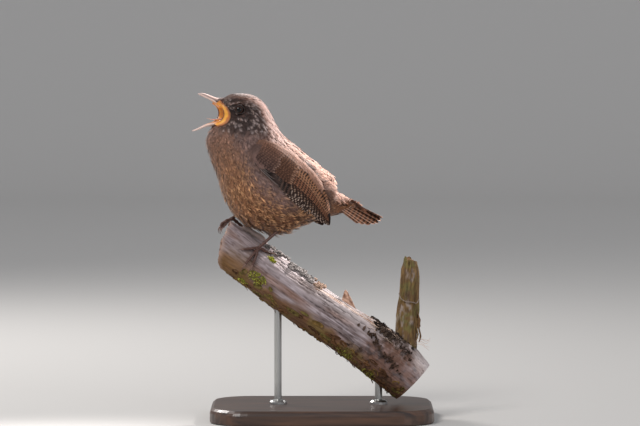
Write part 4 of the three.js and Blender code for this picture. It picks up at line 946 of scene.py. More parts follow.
RIM = np.array([-42.7, 3.4, 95.4])
R_TOES = [[[0, 0, 0], [-2.6, -0.9, -1.0], [-4.7, -1.5, -2.2], [-5.7, -1.9, -3.6]], [[0, 0, 0], [-2.3, 1.2, -1.1], [-4.5, 2.4, -2.6], [-5.4, 2.9, -4.4]],
          [[0, 0, 0], [-1.5, 2.4, -1.2], [-3.2, 4.8, -2.6], [-4.6, 6.6, -4.4]], [[0, 0, 0], [1.6, 1.1, -1.4], [3.2, 2.2, -2.9], [5.0, 3.2, -4.2]]]
R_CLAWS = [[[-5.75, -1.92, -3.7], [-6.5, -2.15, -4.9], [-6.7, -2.2, -6.0], [-6.2, -2.3, -7.2]], [[-5.45, 2.92, -4.5], [-6.0, 3.15, -5.8], [-6.0, 3.2, -6.8], [-5.5, 3.2, -7.8]],
           [[-4.65, 6.7, -4.5], [-5.3, 7.3, -5.6], [-5.4, 7.5, -6.6], [-5.0, 7.6, -7.6]], [[5.05, 3.25, -4.2], [6.1, 3.9, -4.9], [6.8, 4.3, -5.6], [7.3, 4.6, -6.6]]]
right_leg = [tube([RIM, (RIM + [-31.0, 7.6, 106.8]) / 2, (-31.0, 7.6, 106.8), (-29.8, 7.6, 108.2)],
                  lambda k, q: TARSUS_R * (1 + 0.18 * smooth(0.12, 0, k)) * (1 + 0.045 * np.sin(k * 2 * math.pi * 15) * smooth(-0.2, 0.5, np.sin(q))), scaly(1, 15), 90, 20), blob(RIM, 0.98, LEG)]
gather_tubes("leg_skin_right", right_leg, M_LEG, ("leg_right",))
gather_tubes("foot_skin_right", [tube(np.array(t) + RIM, lambda k, q: 1.18 * toe_radius(k, q), scaly(1, 9), 70, 18) for t in R_TOES], M_LEG, ("foot_right",))
gather_tubes("claws_right", [tube(np.array(c) + RIM, lambda k, q: lerp(CLAW_R * 1.1, 0.06, k ** 0.8) + 0 * q, claw_colour, 24, 12) for c in R_CLAWS], M_HORN, tuple("claw_right_%d" % i for i in range(1, 5)))

# thigh feathers over the top of the left leg
for label, hip, knee in (("left", np.array([-15.8, -6.4, 95.6]), np.array([-18.8, -7.4, 91.6])),):
    m = 170
    k, q = rng.uniform(0, 1, m), rng.uniform(0, 2 * math.pi, m)
    ax = unit(knee - hip)
    a = unit(np.cross(ax, [0, 1, 0.2])); b = np.cross(ax, a)
    rr = lerp(2.9, 1.15, k)
    out = a * np.cos(q)[:, None] + b * np.sin(q)[:, None]
    q0 = hip + (knee - hip) * k[:, None] + out * rr[:, None]
    ff = np.broadcast_to(ax, q0.shape) - out * 0.35
    ff = unit(ff)
    nn = unit(out - ff * np.sum(out * ff, -1, keepdims=True))
    ln = rng.uniform(2.4, 3.6, m)
    base = lin(110, 72, 50)
    sh = rng.uniform(0.75, 1.15, m)
    plume("thigh_feathers_" + label, q0, ff, nn, ln, ln * 0.55, lambda ll, cc, al, b: (mixc(np.broadcast_to(base, (*ll.shape, 3)), DARK, 0.6 * smooth(0, 0.7, np.sin(al * 3.4 + q[:, None])))) * (sh[:, None] * (1 + 0.08 * rng.standard_normal(ll.shape)))[..., None],
          skin_uv(5.0 + k, np.full(m, math.pi * 1.2)), M_FEATHER, np.full(m, -0.3), np.full(m, 0.1), np.full(m, 0.03), count=6)


# ------------------------------------------------------------------ bill, mouth, tongue and eyes
def horn_loft(name, rows, upper, replaces):
    n, a = 70, 48
    k, q = np.meshgrid(np.linspace(0, len(rows) - 1, n), np.linspace(0, 2 * math.pi, a, endpoint=False), indexing="ij")
    X0 = loft_own(rows, k, q)
    f, c = k / (len(rows) - 1), np.cos(q)
    inner = smooth(0.55, 0.95, -c) if upper else smooth(0.55, 0.95, c)
    edge = np.exp(-((c + 0.55) / 0.3) ** 2) if upper else np.exp(-((c - 0.55) / 0.3) ** 2)
    # the culmen is a soft ridge; the inner side is hollowed
    X0[..., 2] += np.where(upper, 1, -1) * 0.16 * np.exp(-((np.abs(c) - 1) / 0.05) ** 2) * (c > 0 if upper else c < 0) * (1 - f)
    X0[..., 2] += (1 if upper else -1) * 0.5 * inner * smooth(1.0, 0.5, f) * 0.7
    top = lin(112, 84, 76) if upper else lin(214, 186, 174)
    col = mixc(np.broadcast_to(top, X0.shape), lin(236, 212, 203), np.clip((edge * 0.9 + 0.45 * f + 0.5 * smooth(0.75, 0.95, c)) if upper else 0.2 + 0.6 * edge, 0, 1))
    col = mixc(col, lin(226, 146, 60), np.clip(inner * smooth(0.75, 0.1, f) + 0.35 * edge * smooth(0.5, 0.0, f), 0, 1))
    col = mixc(col, lin(214, 160, 140), np.clip(inner * smooth(0.3, 0.9, f), 0, 0.8))
    if not upper:
        col = mixc(col, lin(116, 74, 48), 0.7 * smooth(0.42, 0.0, f) * smooth(0.2, 0.7, -c))
    X = turn(X0)
    col = col * (1 + 0.08 * noise(X * [1, 3, 3], 0.9, 91))[..., None]
    V = np.vstack([X.reshape(-1, 3), X[0].mean(0), X[-1].mean(0)])
    C = np.vstack([col.reshape(-1, 3), col[0].mean(0), col[-1].mean(0)])
    j = np.arange(a)
    caps = np.vstack([np.stack([(j + 1) % a, j, np.full(a, n * a)], -1), np.stack([(n - 1) * a + j, (n - 1) * a + (j + 1) % a, np.full(a, n * a + 1)], -1)])
    mesh_object(name, V, [grid_faces(n, a, wrap=True), caps], C, None, M_HORN, replaces)


horn_loft("bill_upper", UPPER_BILL, True, ("upper_bill",))
horn_loft("bill_lower", LOWER_BILL, False, ("lower_bill",))

# nostrils: small dark slits low on the sides of the upper mandible's root
slits = []
for side in (-1, 1):
    pts = [turn(loft_own(UPPER_BILL, np.array(t), np.array(side * 1.75), 0.02)) for t in (0.85, 1.15, 1.5)]
    slits.append(tube(pts, lambda k, q: 0.24 * np.sin(math.pi * np.clip(k, 0.03, 0.97)) ** 0.7 + 0 * q, lambda k, q, X: np.broadcast_to(lin(34, 22, 18), X.shape), 16, 10))
gather_tubes("nostrils", slits, M_HORN)

# lining of the mouth, and the rolled orange skin along each side of the gape
n, a = 60, 60
u, s = np.meshgrid(np.linspace(-0.0, 1.0, n), np.linspace(-1, 1, a), indexing="ij")
X = mouth_own(u, s)
# painted shade: the deep middle of the mouth painted darker orange-brown
c_mouth = mixc(np.broadcast_to(lin(240, 160, 54), X.shape), lin(176, 92, 40), 0.7 * smooth(0.35, 0.0, np.abs(s) - 0.2) * np.sin(math.pi * u))
c_mouth = mixc(c_mouth, lin(206, 124, 92), 0.35 * smooth(0.65, 1.0, u) * smooth(0.7, 0.2, np.abs(s)))
Xt = turn(X)
back_x = turn(X + np.array([0.35, 0, 0]))
V = np.vstack([Xt.reshape(-1, 3), back_x.reshape(-1, 3)])
f0 = grid_faces(n, a)
rim_idx = np.concatenate([np.arange(a), a * np.arange(1, n) + a - 1, (n - 1) * a + np.arange(a - 2, -1, -1), a * np.arange(n - 2, 0, -1)])
nx = np.roll(rim_idx, -1)
mesh_object("mouth_lining", V, [f0, f0[:, ::-1] + n * a, np.stack([rim_idx, rim_idx + n * a, nx + n * a, nx], -1)], np.vstack([c_mouth.reshape(-1, 3)] * 2), None, M_MOUTH, ("gape",))
lips = []
for side in (-1, 1):
    k = np.linspace(0.02, 0.98, 9)
    pts = turn(mouth_own(k, np.full(9, side * 1.0)) + np.array([0.15, 0, 0]))
    # painted shade: each lip dark brown along its middle, the shaded edge of the mouth
    lips.append(tube(pts, lambda k, q: lerp(0.22, 0.36, np.sin(math.pi * k)) * (1 + 0.05 * np.sin(31 * k)) + 0 * q, lambda k, q, X: mixc(np.broadcast_to(lin(236, 150, 52), X.shape), lin(112, 58, 28), smooth(0.12, 0.35, k) * smooth(0.95, 0.75, k)), 60, 16, up=(0, 1, 0)))
# the loose skin of the gape, from the mouth's edge back to the first feathers
for side in (-1, 1):
    n, a = 60, 26
    u, w = np.meshgrid(np.linspace(0, 1, n), np.linspace(0, 1, a), indexing="ij")
    inner_e = mouth_own(u, np.full(u.shape, float(side)))
    fo = row_at(np.array(FOLD), u * (len(FOLD) - 1))
    hw = np.array([half_width(float(x), float(z)) or 0.0 for x, z in zip(fo[:, 0, 0], fo[:, 0, 1])])
    hw = np.where(hw < 3.4, 3.4 + 0.4 * np.sin(math.pi * u[:, 0]), hw + 0.02)
    outer_e = np.stack([fo[..., 0] + 0.25, side * np.repeat(hw[:, None], a, 1), fo[..., 1]], -1)
    S0 = lerp(inner_e, outer_e, w[..., None])
    roll = 0.42 * np.sin(math.pi * np.clip(w * 1.15, 0, 1)) * np.sin(math.pi * np.clip(u, 0.03, 0.97)) ** 0.6 + 0.10 * np.sin(w * 19) * np.sin(math.pi * u)
    S0 = S0 + np.stack([-0.35 * roll, side * roll, 0 * roll], -1)
    mid_u = smooth(0.1, 0.3, u) * smooth(0.97, 0.8, u)
    # painted shade: a dark band along the mouth's edge, at the skin's inner rim
    cs = mixc(np.broadcast_to(lin(240, 160, 56), S0.shape), lin(116, 60, 28), 0.9 * mid_u * smooth(0.16, 0.03, w))
    cs = mixc(cs, lin(178, 108, 52), smooth(0.46, 0.72, w + 0.08 * noise(S0, 0.9, 98)))
    cs = mixc(cs, lin(108, 70, 48), smooth(0.74, 1.0, w + 0.1 * noise(S0, 1.3, 96)) * 0.85)
    cs = mixc(cs, lin(196, 120, 60), 0.6 * smooth(0.3, 0.0, u))
    cs = cs * (1 + 0.10 * noise(S0 * [1, 1, 1], 1.4, 97))[..., None]
    top_s, low_s = turn(S0), turn(S0 - np.stack([0 * w, side * (0.22 + 0 * w), 0 * w], -1))
    V = np.vstack([top_s.reshape(-1, 3), low_s.reshape(-1, 3)])
    f0 = grid_faces(n, a)
    rim_s = np.concatenate([np.arange(a), a * np.arange(1, n) + a - 1, (n - 1) * a + np.arange(a - 2, -1, -1), a * np.arange(n - 2, 0, -1)])
    nx = np.roll(rim_s, -1)
    lips.append((V, np.vstack([f0, f0[:, ::-1] + n * a, np.stack([rim_s, rim_s + n * a, nx + n * a, nx], -1)]), np.zeros((0, 3), int), np.vstack([cs.reshape(-1, 3)] * 2)))
gather_tubes("gape_skin", lips, M_MOUTH)

tongue_pts = turn(np.array([[-45.6, 0, 142.9], [-47.4, 0, 143.0], [-49.6, 0, 142.9], [-51.7, 0, 142.8], [-53.4, 0, 142.95], [-55.0, 0, 143.45]]))
gather_tubes("tongue_flesh", [tube(tongue_pts, lambda k, q: lerp(1.25, 0.16, k ** 0.9) * (1 - 0.25 * np.exp(-((q - math.pi / 2) / 0.5) ** 2)), lambda k, q, X: mixc(np.broadcast_to(lin(206, 138, 118), X.shape), lin(232, 190, 176), k), 50, 22, 0.42)], M_MOUTH, ("tongue",))

for side, label in ((-1, "left"), (1, "right")):
    c = eye_at[side]
    look = unit(turn(eye_own[side] + np.array([-0.30, side * 1.0, 0.02])) - c)
    a_, b_ = np.meshgrid(np.linspace(0, math.pi, 64), np.linspace(0, 2 * math.pi, 72, endpoint=False), indexing="ij")
    e1 = unit(np.cross(look, [0, 0, 1.0])); e2 = np.cross(e1, look)
    r = EYE["r"] * (1 + 0.06 * np.exp(-(a_ / 0.62) ** 2))
    X = c + (look * np.cos(a_)[..., None] + e1 * (np.sin(a_) * np.cos(b_))[..., None] + e2 * (np.sin(a_) * np.sin(b_))[..., None]) * r[..., None]
    col = mixc(np.broadcast_to(lin(8, 5, 4), X.shape), lin(46, 25, 16), smooth(0.48, 0.56, a_) * smooth(0.95, 0.8, a_))
    col = mixc(col, lin(22, 14, 12), smooth(0.8, 0.95, a_))
    mesh_object("eyeball_" + label, X.reshape(-1, 3), [grid_faces(64, 72, wrap=True)], col.reshape(-1, 3), None, M_EYE, ("eye_" + label,))
    # lids: a ring of bare grey skin, beaded with tiny plates
    surf = eye_own[side] * 1.0
    q = np.linspace(0, 2 * math.pi, 120, endpoint=False)
    ex, ez = 2.16 * np.cos(q), 1.80 * np.sin(q)
    ring_own = np.stack([EYE["x"] + ex, 0 * q, EYE["z"] + ez], -1)
    ring_own[:, 1] = [side * ((half_width(float(x), float(z)) or 6.0) - 0.28) for x, z in zip(ring_own[:, 0], ring_own[:, 2])]
    ring = turn(ring_own)
    rel = ring - c
    near = c + unit(rel) * np.maximum(np.linalg.norm(rel, axis=-1), EYE["r"] + 0.08)[:, None]
    m = 14
    w = np.linspace(0, 2 * math.pi, m, endpoint=False)
    tang = unit(np.roll(near, -1, 0) - np.roll(near, 1, 0))
    nrm = unit(near - c)
    sidev = np.cross(tang, nrm)
    bead = 0.21 * (1 + 0.16 * np.sin(q * 26))
    X = near[:, None] + (nrm[:, None] * np.sin(w)[None, :, None] * 0.8 + sidev[:, None] * np.cos(w)[None, :, None] * 1.15) * bead[:, None, None]
    ring_c = mixc(np.broadcast_to(lin(36, 30, 29), X.shape), lin(82, 74, 72), 0.5 + 0.5 * np.sin(q * 26)[:, None] + 0 * X[..., 0])
    ring_c = ring_c * (0.8 + 0.35 * noise(X, 0.8, 99))[..., None]
    i, j = np.meshgrid(np.arange(120), np.arange(m), indexing="ij")
    i, j = i.ravel(), j.ravel()
    fc = np.stack([i * m + j, i * m + (j + 1) % m, ((i + 1) % 120) * m + (j + 1) % m, ((i + 1) % 120) * m + j], -1)
    mesh_object("eyelid_" + label, X.reshape(-1, 3), [fc], ring_c.reshape(-1, 3), None, M_SKIN)


# ------------------------------------------------------------------ the branch
def end_face(y, z):
    v = z - 82.4
    return -47.6 + 0.22 * v + 0.0135 * v * v + 0.45 * np.sin(1.1 * y + 0.7 * v) - 0.003 * y * y


def wood_relief(t, deg, base):
    """Height of the grain, cracks and bark at a place of the branch, with the masks its colour is made from."""
    a = np.radians(deg)
    p, r, d, up = branch_frame(t)
    s = t * 20.5                                       # millimetres along it
    g = np.stack([s * 0.16, np.cos(a) * 9, np.sin(a) * 9], -1)
    grain = fractal(g, 1.0, 4, 5)
    fine = noise(np.stack([s * 0.35, np.cos(a) * 30, np.sin(a) * 30], -1), 1.0, 15)
    twist = deg + 0.55 * s
    under = smooth(100, 128, np.abs(((deg + 180) % 360) - 180) + 10 * noise(g * [2, 1, 1], 0.7, 8))
    bark = under * smooth(-0.25, 0.25, fractal(np.stack([s * 0.11, np.cos(a) * 4, np.sin(a) * 4], -1), 1.0, 3, 25) + 0.35 * under)
    # long drying cracks that run with the grain, and many fine ones
    cracks = 0.0
    for k in range(72):
        c0, fine_k = (k * 47.3) % 360 - 180, k >= 14
        s0 = 8 + (k * 29.7) % 112
        s1 = s0 + (14 + (k * 13.1) % 22 if fine_k else 34 + (k * 17.7) % 46)
        w0 = (0.19 if fine_k else 0.32) * (1 + 0.45 * noise(np.stack([s * 0.5, 0 * s + k, 0 * s], -1), 1.0, 30 + k))
        line = c0 + 5 * noise(np.stack([s * 0.06, 0 * s + k, 0 * s], -1), 1.0, 40 + k) + 1.6 * noise(np.stack([s * 0.45, 0 * s + k, 0 * s], -1), 1.0, 60 + k)
        dist = np.abs(((deg - line + 180) % 360) - 180) / 57.3 * r
        on = smooth(s0, s0 + 7, s) * smooth(s1, s1 - 7, s) * (0.8 if fine_k else 1.0) * (0.75 + 0.35 * noise(np.stack([s * 0.8, 0 * s + k, 0 * s], -1), 1.0, 90 + k))
        cracks = np.maximum(cracks, np.clip(on, 0, 1) * np.exp(-(dist / w0) ** 2))
    check = smooth(0.42, 0.75, grain) * 0.5
    h = 0.20 * grain + 0.10 * fine - 0.7 * cracks - 0.2 * check + bark * (0.35 + 0.28 * fractal(np.stack([s * 0.3, np.cos(a) * 14, np.sin(a) * 14], -1), 1.0, 3, 35))
    return h, grain, fine, under, bark, cracks, s


def wood_colour(t, deg, X, grain, fine, under, bark, cracks, s):
    a = np.radians(deg)
    top = smooth(0.1, 0.95, np.cos(a))
    streak = noise(np.stack([s * 0.12, np.cos(a) * 24, np.sin(a) * 24], -1), 1.0, 49)
    col = mixc(np.broadcast_to(lin(112, 96, 94), X.shape), lin(170, 158, 162), np.clip(0.45 + 0.5 * grain + 0.5 * streak, 0, 1))
    warmth = smooth(0.0, 0.7, noise(np.stack([s * 0.05, np.cos(a) * 3, np.sin(a) * 3], -1), 1.0, 51))
    col = mixc(col, lin(140, 104, 86), 0.55 * warmth)
    # painted highlight: the branch's top painted paler, the more so further along
    col = mixc(col, lin(222, 210, 207), 0.66 * top * smooth(20, 80, s))
    col = mixc(col, lin(124, 86, 56), 0.85 * under)
    col = mixc(col, lin(96, 70, 46), np.clip(bark * (0.55 + 0.5 * grain), 0, 1))
    col = mixc(col, lin(126, 112, 62), np.clip(0.45 * bark * smooth(0.1, 0.6, noise(X, 0.22, 53)), 0, 1))
    col = mixc(col, lin(78, 60, 56), np.clip(0.65 * smooth(0.25, 0.8, fine) * (1 - under), 0, 1))
    col = mixc(col, lin(70, 50, 38), np.clip(0.6 * smooth(0.1, 0.7, streak) * under, 0, 1))
    col = mixc(col, lin(46, 32, 27), np.clip(cracks * 0.92, 0, 1))
    # the collar round the side shoot is black and mossy
    d = np.linalg.norm((X - np.array([33.5, -4, 33.0])) * [0.8, 0.7, 0.9], axis=-1)
    dirt = smooth(12.5, 6.5, d + 2.6 * fractal(X, 0.25, 3, 55)) * smooth(-0.5, 0.2, fractal(X, 0.45, 3, 58))
    col = mixc(col, lin(44, 36, 31), 0.85 * dirt)
    return col, dirt


n_s, n_a = ((560, 160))
tl, da = np.meshgrid(np.linspace(0, 1, n_s), np.linspace(0, 360, n_a, endpoint=False), indexing="ij")
# where each line along the branch meets the broken face
t_face = np.zeros(n_a)
for j, deg in enumerate(np.linspace(0, 360, n_a, endpoint=False)):
    lo, hi = 0.0, 2.2
    for _ in range(40):
        m = (lo + hi) / 2
        q = branch_point(np.array(m), deg)
        if q[0] < end_face(q[1], q[2]):
            lo = m
        else:
            hi = m
    t_face[j] = lo + 0.012 * float(noise(np.array([j * 0.35, 0, 0]), 1.0, 62)) + 0.02 * float(noise(np.array([j * 1.3, 0, 0]), 1.0, 63))
tb = t_face[None] + (len(BRANCH) - 1 - t_face[None]) * tl
h, grain, fine, under, bark, cracks, s_mm = wood_relief(tb, da, None)
X0 = branch_point(tb, da)
# the cleft between the feet: a shallow groove in front of the ridge, with painted shade on it
near = np.abs(((da + 360) % 360) - 352)
near = np.minimum(near, 360 - near)
cleft_and_shade = smooth(15, 5, near + 5 * noise(np.stack([s_mm * 0.3, da * 0, da * 0], -1), 1, 66)) * smooth(27.5, 23.5, s_mm) * smooth(-1, 3, s_mm - t_face[None] * 20.5)
ridge = smooth(13, 2, np.abs(((da + 360) % 360) - 331)) * smooth(30, 24, s_mm)
calm = smooth(30, 20, np.abs(((da + 180) % 360) - 180 - 60)) * smooth(0.3, 0.1, np.abs(tb - 1.6)) * 0
edge_rough = smooth(0.03, 0.0, tl)
sdeg = ((da + 180) % 360) - 180
lump_n = fractal(np.stack([s_mm * 0.22, sdeg * 0.02, 0 * da], -1), 1.0, 3, 68)
ridge_on = smooth(20.5, 23.5, s_mm) * smooth(39, 33, s_mm + 2 * lump_n)
ridge = smooth(-30, -20, sdeg + 4 * lump_n) * smooth(-4, -9, sdeg + 2 * lump_n) * ridge_on
cleft_and_shade = smooth(-6.6, -5.6, sdeg + 0.6 * lump_n) * smooth(33, 28, s_mm) * smooth(7 + 3 * lump_n, 1, sdeg) * ridge_on
h = h - 0.9 * cleft_and_shade + (2.7 + 0.8 * lump_n) * ridge
# the splintered strip above the middle, and the swollen collar of the side shoot
peel = smooth(11, 3, np.abs(((da + 180) % 360) - 180 - 33) + 4 * noise(np.stack([s_mm * 0.25, 0 * da, 0 * da], -1), 1, 67)) * smooth(62, 66, s_mm) * smooth(104, 96, s_mm)
h = h - 0.35 * peel * (1 + 0.4 * fine) + 0.35 * peel * smooth(-0.3, 0.3, np.sin(sdeg * 0.9 + 3.5 * noise(np.stack([s_mm * 0.12, 0 * da, 0 * da], -1), 1.0, 64)))
knot = np.exp(-(np.linalg.norm((X0 - np.array([35.5, -5.5, 33.0])) * [1, 1, 1.1], axis=-1) / 7.5) ** 2)
h = h + 1.5 * knot * (0.7 + 0.6 * fractal(X0, 0.35, 3, 69))
XB = branch_point(tb, da, h)
colB, dirt = wood_colour(tb, da, XB, grain, fine, under, bark, cracks, s_mm)
# painted shade: the cleft in front of the ridge painted near black
colB = mixc(colB, lin(38, 24, 20), np.clip(cleft_and_shade * 0.95, 0, 1))
# painted highlight: the ridge's top painted pale
colB = mixc(colB, lin(206, 184, 176), 0.85 * np.clip(2 * ridge, 0, 1) * (1 - cleft_and_shade))
strips = smooth(-0.3, 0.3, np.sin(sdeg * 0.9 + 3.5 * noise(np.stack([s_mm * 0.12, 0 * da, 0 * da], -1), 1.0, 64)))
colB = mixc(colB, mixc(np.broadcast_to(lin(150, 106, 82), colB.shape), lin(236, 216, 202), strips), np.clip(0.9 * peel, 0, 1))
colB = mixc(colB, lin(186, 160, 150), 0.5 * edge_rough)
# greenish and brown stains of the lower left end
stain = smooth(14, 4, np.linalg.norm(XB - np.array([-42, -9, 73]), axis=-1) + 3 * fractal(XB, 0.3, 3, 71))
colB = mixc(colB, lin(112, 84, 48), 0.55 * stain)
brown = smooth(15, 5, np.linalg.norm((XB - np.array([31, -9, 27])) * [0.75, 0.6, 0.8], axis=-1) + 4 * fractal(XB, 0.22, 3, 72))
colB = mixc(colB, mixc(np.broadcast_to(lin(116, 84, 70), colB.shape), lin(58, 44, 38), smooth(-0.1, 0.5, fractal(XB, 0.5, 3, 74))), 0.7 * brown)
V = XB.reshape(-1, 3)
Cw = colB.reshape(-1, 3)
faces = [grid_faces(n_s, n_a, wrap=True)]
# the broken face, with torn fibres, and the sawn end, with its rings
for which in (0, 1):
    ring = XB[0] if which == 0 else XB[-1]
    m = 26
    rr = np.linspace(1, 0, m + 1)[1:-1]
    centre = ring.mean(0)
    cap = centre + (ring[None] - centre) * rr[:, None, None]
    if which == 0:
        tear = fractal(np.stack([cap[..., 1] * 0.9, cap[..., 2] * 0.9, 0 * cap[..., 0]], -1), 0.6, 4, 73)
        cap[..., 0] = end_face(cap[..., 1], cap[..., 2]) + (0.9 * tear + 0.3 * noise(cap * [0, 1, 1], 2.4, 75)) * smooth(1.0, 0.9, rr)[:, None]
        hole = np.exp(-(np.linalg.norm((cap - np.array([-44.5, 1.5, 89.5])) * [0, 0.32, 0.28], axis=-1)) ** 2)
        cap[..., 0] += 2.4 * hole
        cc = mixc(np.broadcast_to(lin(142, 112, 98), cap.shape), lin(190, 160, 144), np.clip(0.5 + 0.8 * tear, 0, 1))
        cc = mixc(cc, lin(44, 30, 25), np.clip(hole * 1.1 + smooth(-0.2, -0.6, tear) * 0.6, 0, 1))
        cc = mixc(cc, lin(134, 98, 62), smooth(80, 72, cap[..., 2]) * 0.6)
    else:
        ringw = np.sin(rr * 46)[:, None] + 0.6 * noise(cap, 0.5, 77)
        cc = mixc(np.broadcast_to(lin(206, 172, 130), cap.shape), lin(168, 128, 90), np.clip(0.5 + 0.45 * ringw, 0, 1))
    start = len(V)
    V = np.vstack([V, cap.reshape(-1, 3), cap[-1].mean(0)])
    Cw = np.vstack([Cw, cc.reshape(-1, 3), cc[-1].mean(0)])
    j = np.arange(n_a)
    k = (j + 1) % n_a
    outer_i = (0 if which == 0 else (n_s - 1) * n_a) + j
    outer_k = (0 if which == 0 else (n_s - 1) * n_a) + k
    q1 = np.stack([outer_i, start + j, start + k, outer_k], -1)
    q2 = grid_faces(m - 1, n_a, wrap=True, start=start)[:, ::-1]
    t1 = np.stack([start + (m - 2) * n_a + j, np.full(n_a, len(V) - 1), start + (m - 2) * n_a + k], -1)
    if which:
        q1, q2, t1 = q1[:, ::-1], q2[:, ::-1], t1[:, ::-1]
    faces += [q1, q2, t1]
mesh_object("branch_wood", V, faces, Cw, None, M_WOOD, ("perch_branch",))

# the dead side shoot, broken off at its top
n, a = 150, 90
k, q = np.meshgrid(np.linspace(0, 1, n), np.linspace(0, 2 * math.pi, a, endpoint=False), indexing="ij")
line = spline([[38.6, 0, 24], [40.2, 0, 40], [41.3, 0.2, 56], [41.9, 0.3, 70.5], [42.0, 0.3, 76.4]], n)
rad_ = 5.35 - 0.9 * smooth(0.1, 0.75, k) - 1.6 * smooth(0.62, 0.95, k) - 0.9 * smooth(0.93, 1, k) + 0.15 * np.sin(19 * k)
g = fractal(np.stack([k * 9, np.cos(q) * 5, np.sin(q) * 5], -1), 1.0, 4, 83)
bk = smooth(-0.1, 0.3, fractal(np.stack([k * 6, np.cos(q) * 2.2, np.sin(q) * 2.2], -1), 1.0, 3, 85))
rad_ = rad_ + 0.22 * g + 0.38 * bk
for kk, (q0, k0, k1) in enumerate([(4.6, 0.45, 0.98), (5.4, 0.2, 0.6), (3.9, 0.3, 0.8), (1.2, 0.2, 0.9)]):
    w = q0 + 0.25 * noise(np.stack([k * 7, 0 * k + kk, 0 * k], -1), 1.0, 87)
    rad_ -= 0.8 * np.exp(-((((q - w + math.pi) % (2 * math.pi)) - math.pi) / 0.07) ** 2) * smooth(k0, k0 + 0.06, k) * smooth(k1, k1 - 0.06, k)
topz = 1.5 * fractal(np.stack([np.cos(q) * 1.7, np.sin(q) * 1.7, 0 * q], -1), 1.0, 3, 89) - 1.6 * np.cos(q + 0.5) - 0.6
X = np.stack([line[:, None, 0] + rad_ * np.cos(q), line[:, None, 1] + 0.92 * rad_ * np.sin(q), line[:, None, 2] + topz * smooth(0.9, 1, k)], -1)
ochre = mixc(np.broadcast_to(lin(132, 104, 60), X.shape), lin(92, 72, 56), np.clip(0.5 + 1.0 * g, 0, 1))
ochre = mixc(ochre, lin(110, 112, 66), 0.5 * smooth(0.0, 0.5, fractal(X, 0.3, 3, 96)))
ochre = mixc(ochre, lin(160, 148, 142), 0.75 * smooth(0.12, 0.5, fractal(X * [1, 1, 0.45], 0.42, 4, 92)))
ochre = mixc(ochre, lin(60, 44, 34), 0.6 * smooth(0.2, 0.6, fractal(X * [1, 1, 0.3], 0.9, 3, 98)))
ochre = mixc(ochre, lin(52, 40, 34), 0.75 * smooth(0.25, 0.02, k + 0.08 * g))
ochre = mixc(ochre, lin(70, 52, 40), 0.7 * smooth(-0.15, -0.5, g))
mid = X[-1].mean(0) - np.array([0, 0, 1.2])
caps_r = np.linspace(1, 0, 12)[1:-1]
capX = mid + (X[-1][None] - mid) * caps_r[:, None, None]
capX[..., 2] += 0.9 * fractal(capX, 0.8, 3, 93)
capC = mixc(np.broadcast_to(lin(150, 118, 84), capX.shape), lin(96, 70, 50), np.clip(0.5 + 0.9 * fractal(capX, 0.9, 3, 94), 0, 1))
V = np.vstack([X.reshape(-1, 3), capX.reshape(-1, 3), capX[-1].mean(0), X[0].mean(0)])
Cc_ = np.vstack([ochre.reshape(-1, 3), capC.reshape(-1, 3), capC[-1].mean(0), ochre[0].mean(0)])
st = n * a
j = np.arange(a)
k_ = (j + 1) % a
faces = [grid_faces(n, a, wrap=True), np.stack([(n - 1) * a + j, (n - 1) * a + k_, st + k_, st + j], -1), grid_faces(10, a, wrap=True, start=st),
         np.stack([st + 9 * a + j, st + 9 * a + k_, np.full(a, len(V) - 2)], -1), np.stack([k_, j, np.full(a, len(V) - 1)], -1)]
mesh_object("branch_side_shoot", V, faces, Cc_, None, M_SHOOT)


# ------------------------------------------------------------------ bark plates, lichen, moss, splinters
_bt, _bd = np.meshgrid(np.linspace(0.9, 6.95, 420), np.linspace(-8, 185, 150), indexing="ij")
_bP = branch_point(_bt, _bd)


def on_branch(x, z):
    """The branch place (t, deg) seen at x, z from -Y."""
    k = int(np.argmin((_bP[..., 0] - x) ** 2 + (_bP[..., 2] - z) ** 2))
    return float(_bt.flat[k]), float(_bd.flat[k])


def px(u, v):
    return (u - 322) / 2.1, (419 - v) / 2.1


flakes = []


def flake(t, deg, long, wide, thick, curl, colour, seed, turnby=0.0):
    """A lifting plate of bark or lichen, closed, lying on the branch."""
    n, m = 14, 10
    u, v = np.meshgrid(np.linspace(-1, 1, n), np.linspace(-1, 1, m), indexing="ij")
    e = 1 + 0.22 * noise(np.stack([u * 1.4 + seed, v * 1.4, 0 * u], -1), 1.0, seed)
    sq = np.sqrt(np.clip(1 - 0.42 * v * v, 0, 1)), np.sqrt(np.clip(1 - 0.42 * u * u, 0, 1))
    a_, b_ = u * sq[0] * e * long / 2, v * sq[1] * e * wide / 2
    c, s = math.cos(turnby), math.sin(turnby)
    a_, b_ = a_ * c - b_ * s, a_ * s + b_ * c
    rr = np.sqrt(u * u + v * v)
    rise = 0.05 + curl * smooth(0.35, 1.25, rr) * (0.5 + 0.5 * noise(np.stack([u * 2, v * 2, 0 * u], -1), 1.0, seed + 3)) + 0.12 * noise(np.stack([u * 3, v * 3, 0 * u], -1), 1.0, seed + 5)
    r0 = float(branch_frame(np.array(t))[1])
    T = t + a_ / 20.5
    Dg = deg + np.degrees(b_ / r0)
    low = branch_point(T, Dg, rise - 0.12)
    high = branch_point(T, Dg, rise + thick * (1 + 0.5 * noise(np.stack([u * 4, v * 4, 0 * u], -1), 1.0, seed + 7)))
    V = np.vstack([high.reshape(-1, 3), low.reshape(-1, 3)])
    f0 = grid_faces(n, m)
    rim_i = np.concatenate([np.arange(m), m * np.arange(1, n) + m - 1, (n - 1) * m + np.arange(m - 2, -1, -1), m * np.arange(n - 2, 0, -1)])
    nx_ = np.roll(rim_i, -1)
    col = mixc(np.broadcast_to(colour, high.shape), colour * 0.45, np.clip(0.4 + 0.8 * noise(high, 0.9, seed + 9), 0, 1))
    flakes.append((V, np.vstack([f0, f0[:, ::-1] + n * m, np.stack([rim_i, rim_i + n * m, nx_ + n * m, nx_], -1)]), np.zeros((0, 3), int), np.vstack([col.reshape(-1, 3)] * 2)))


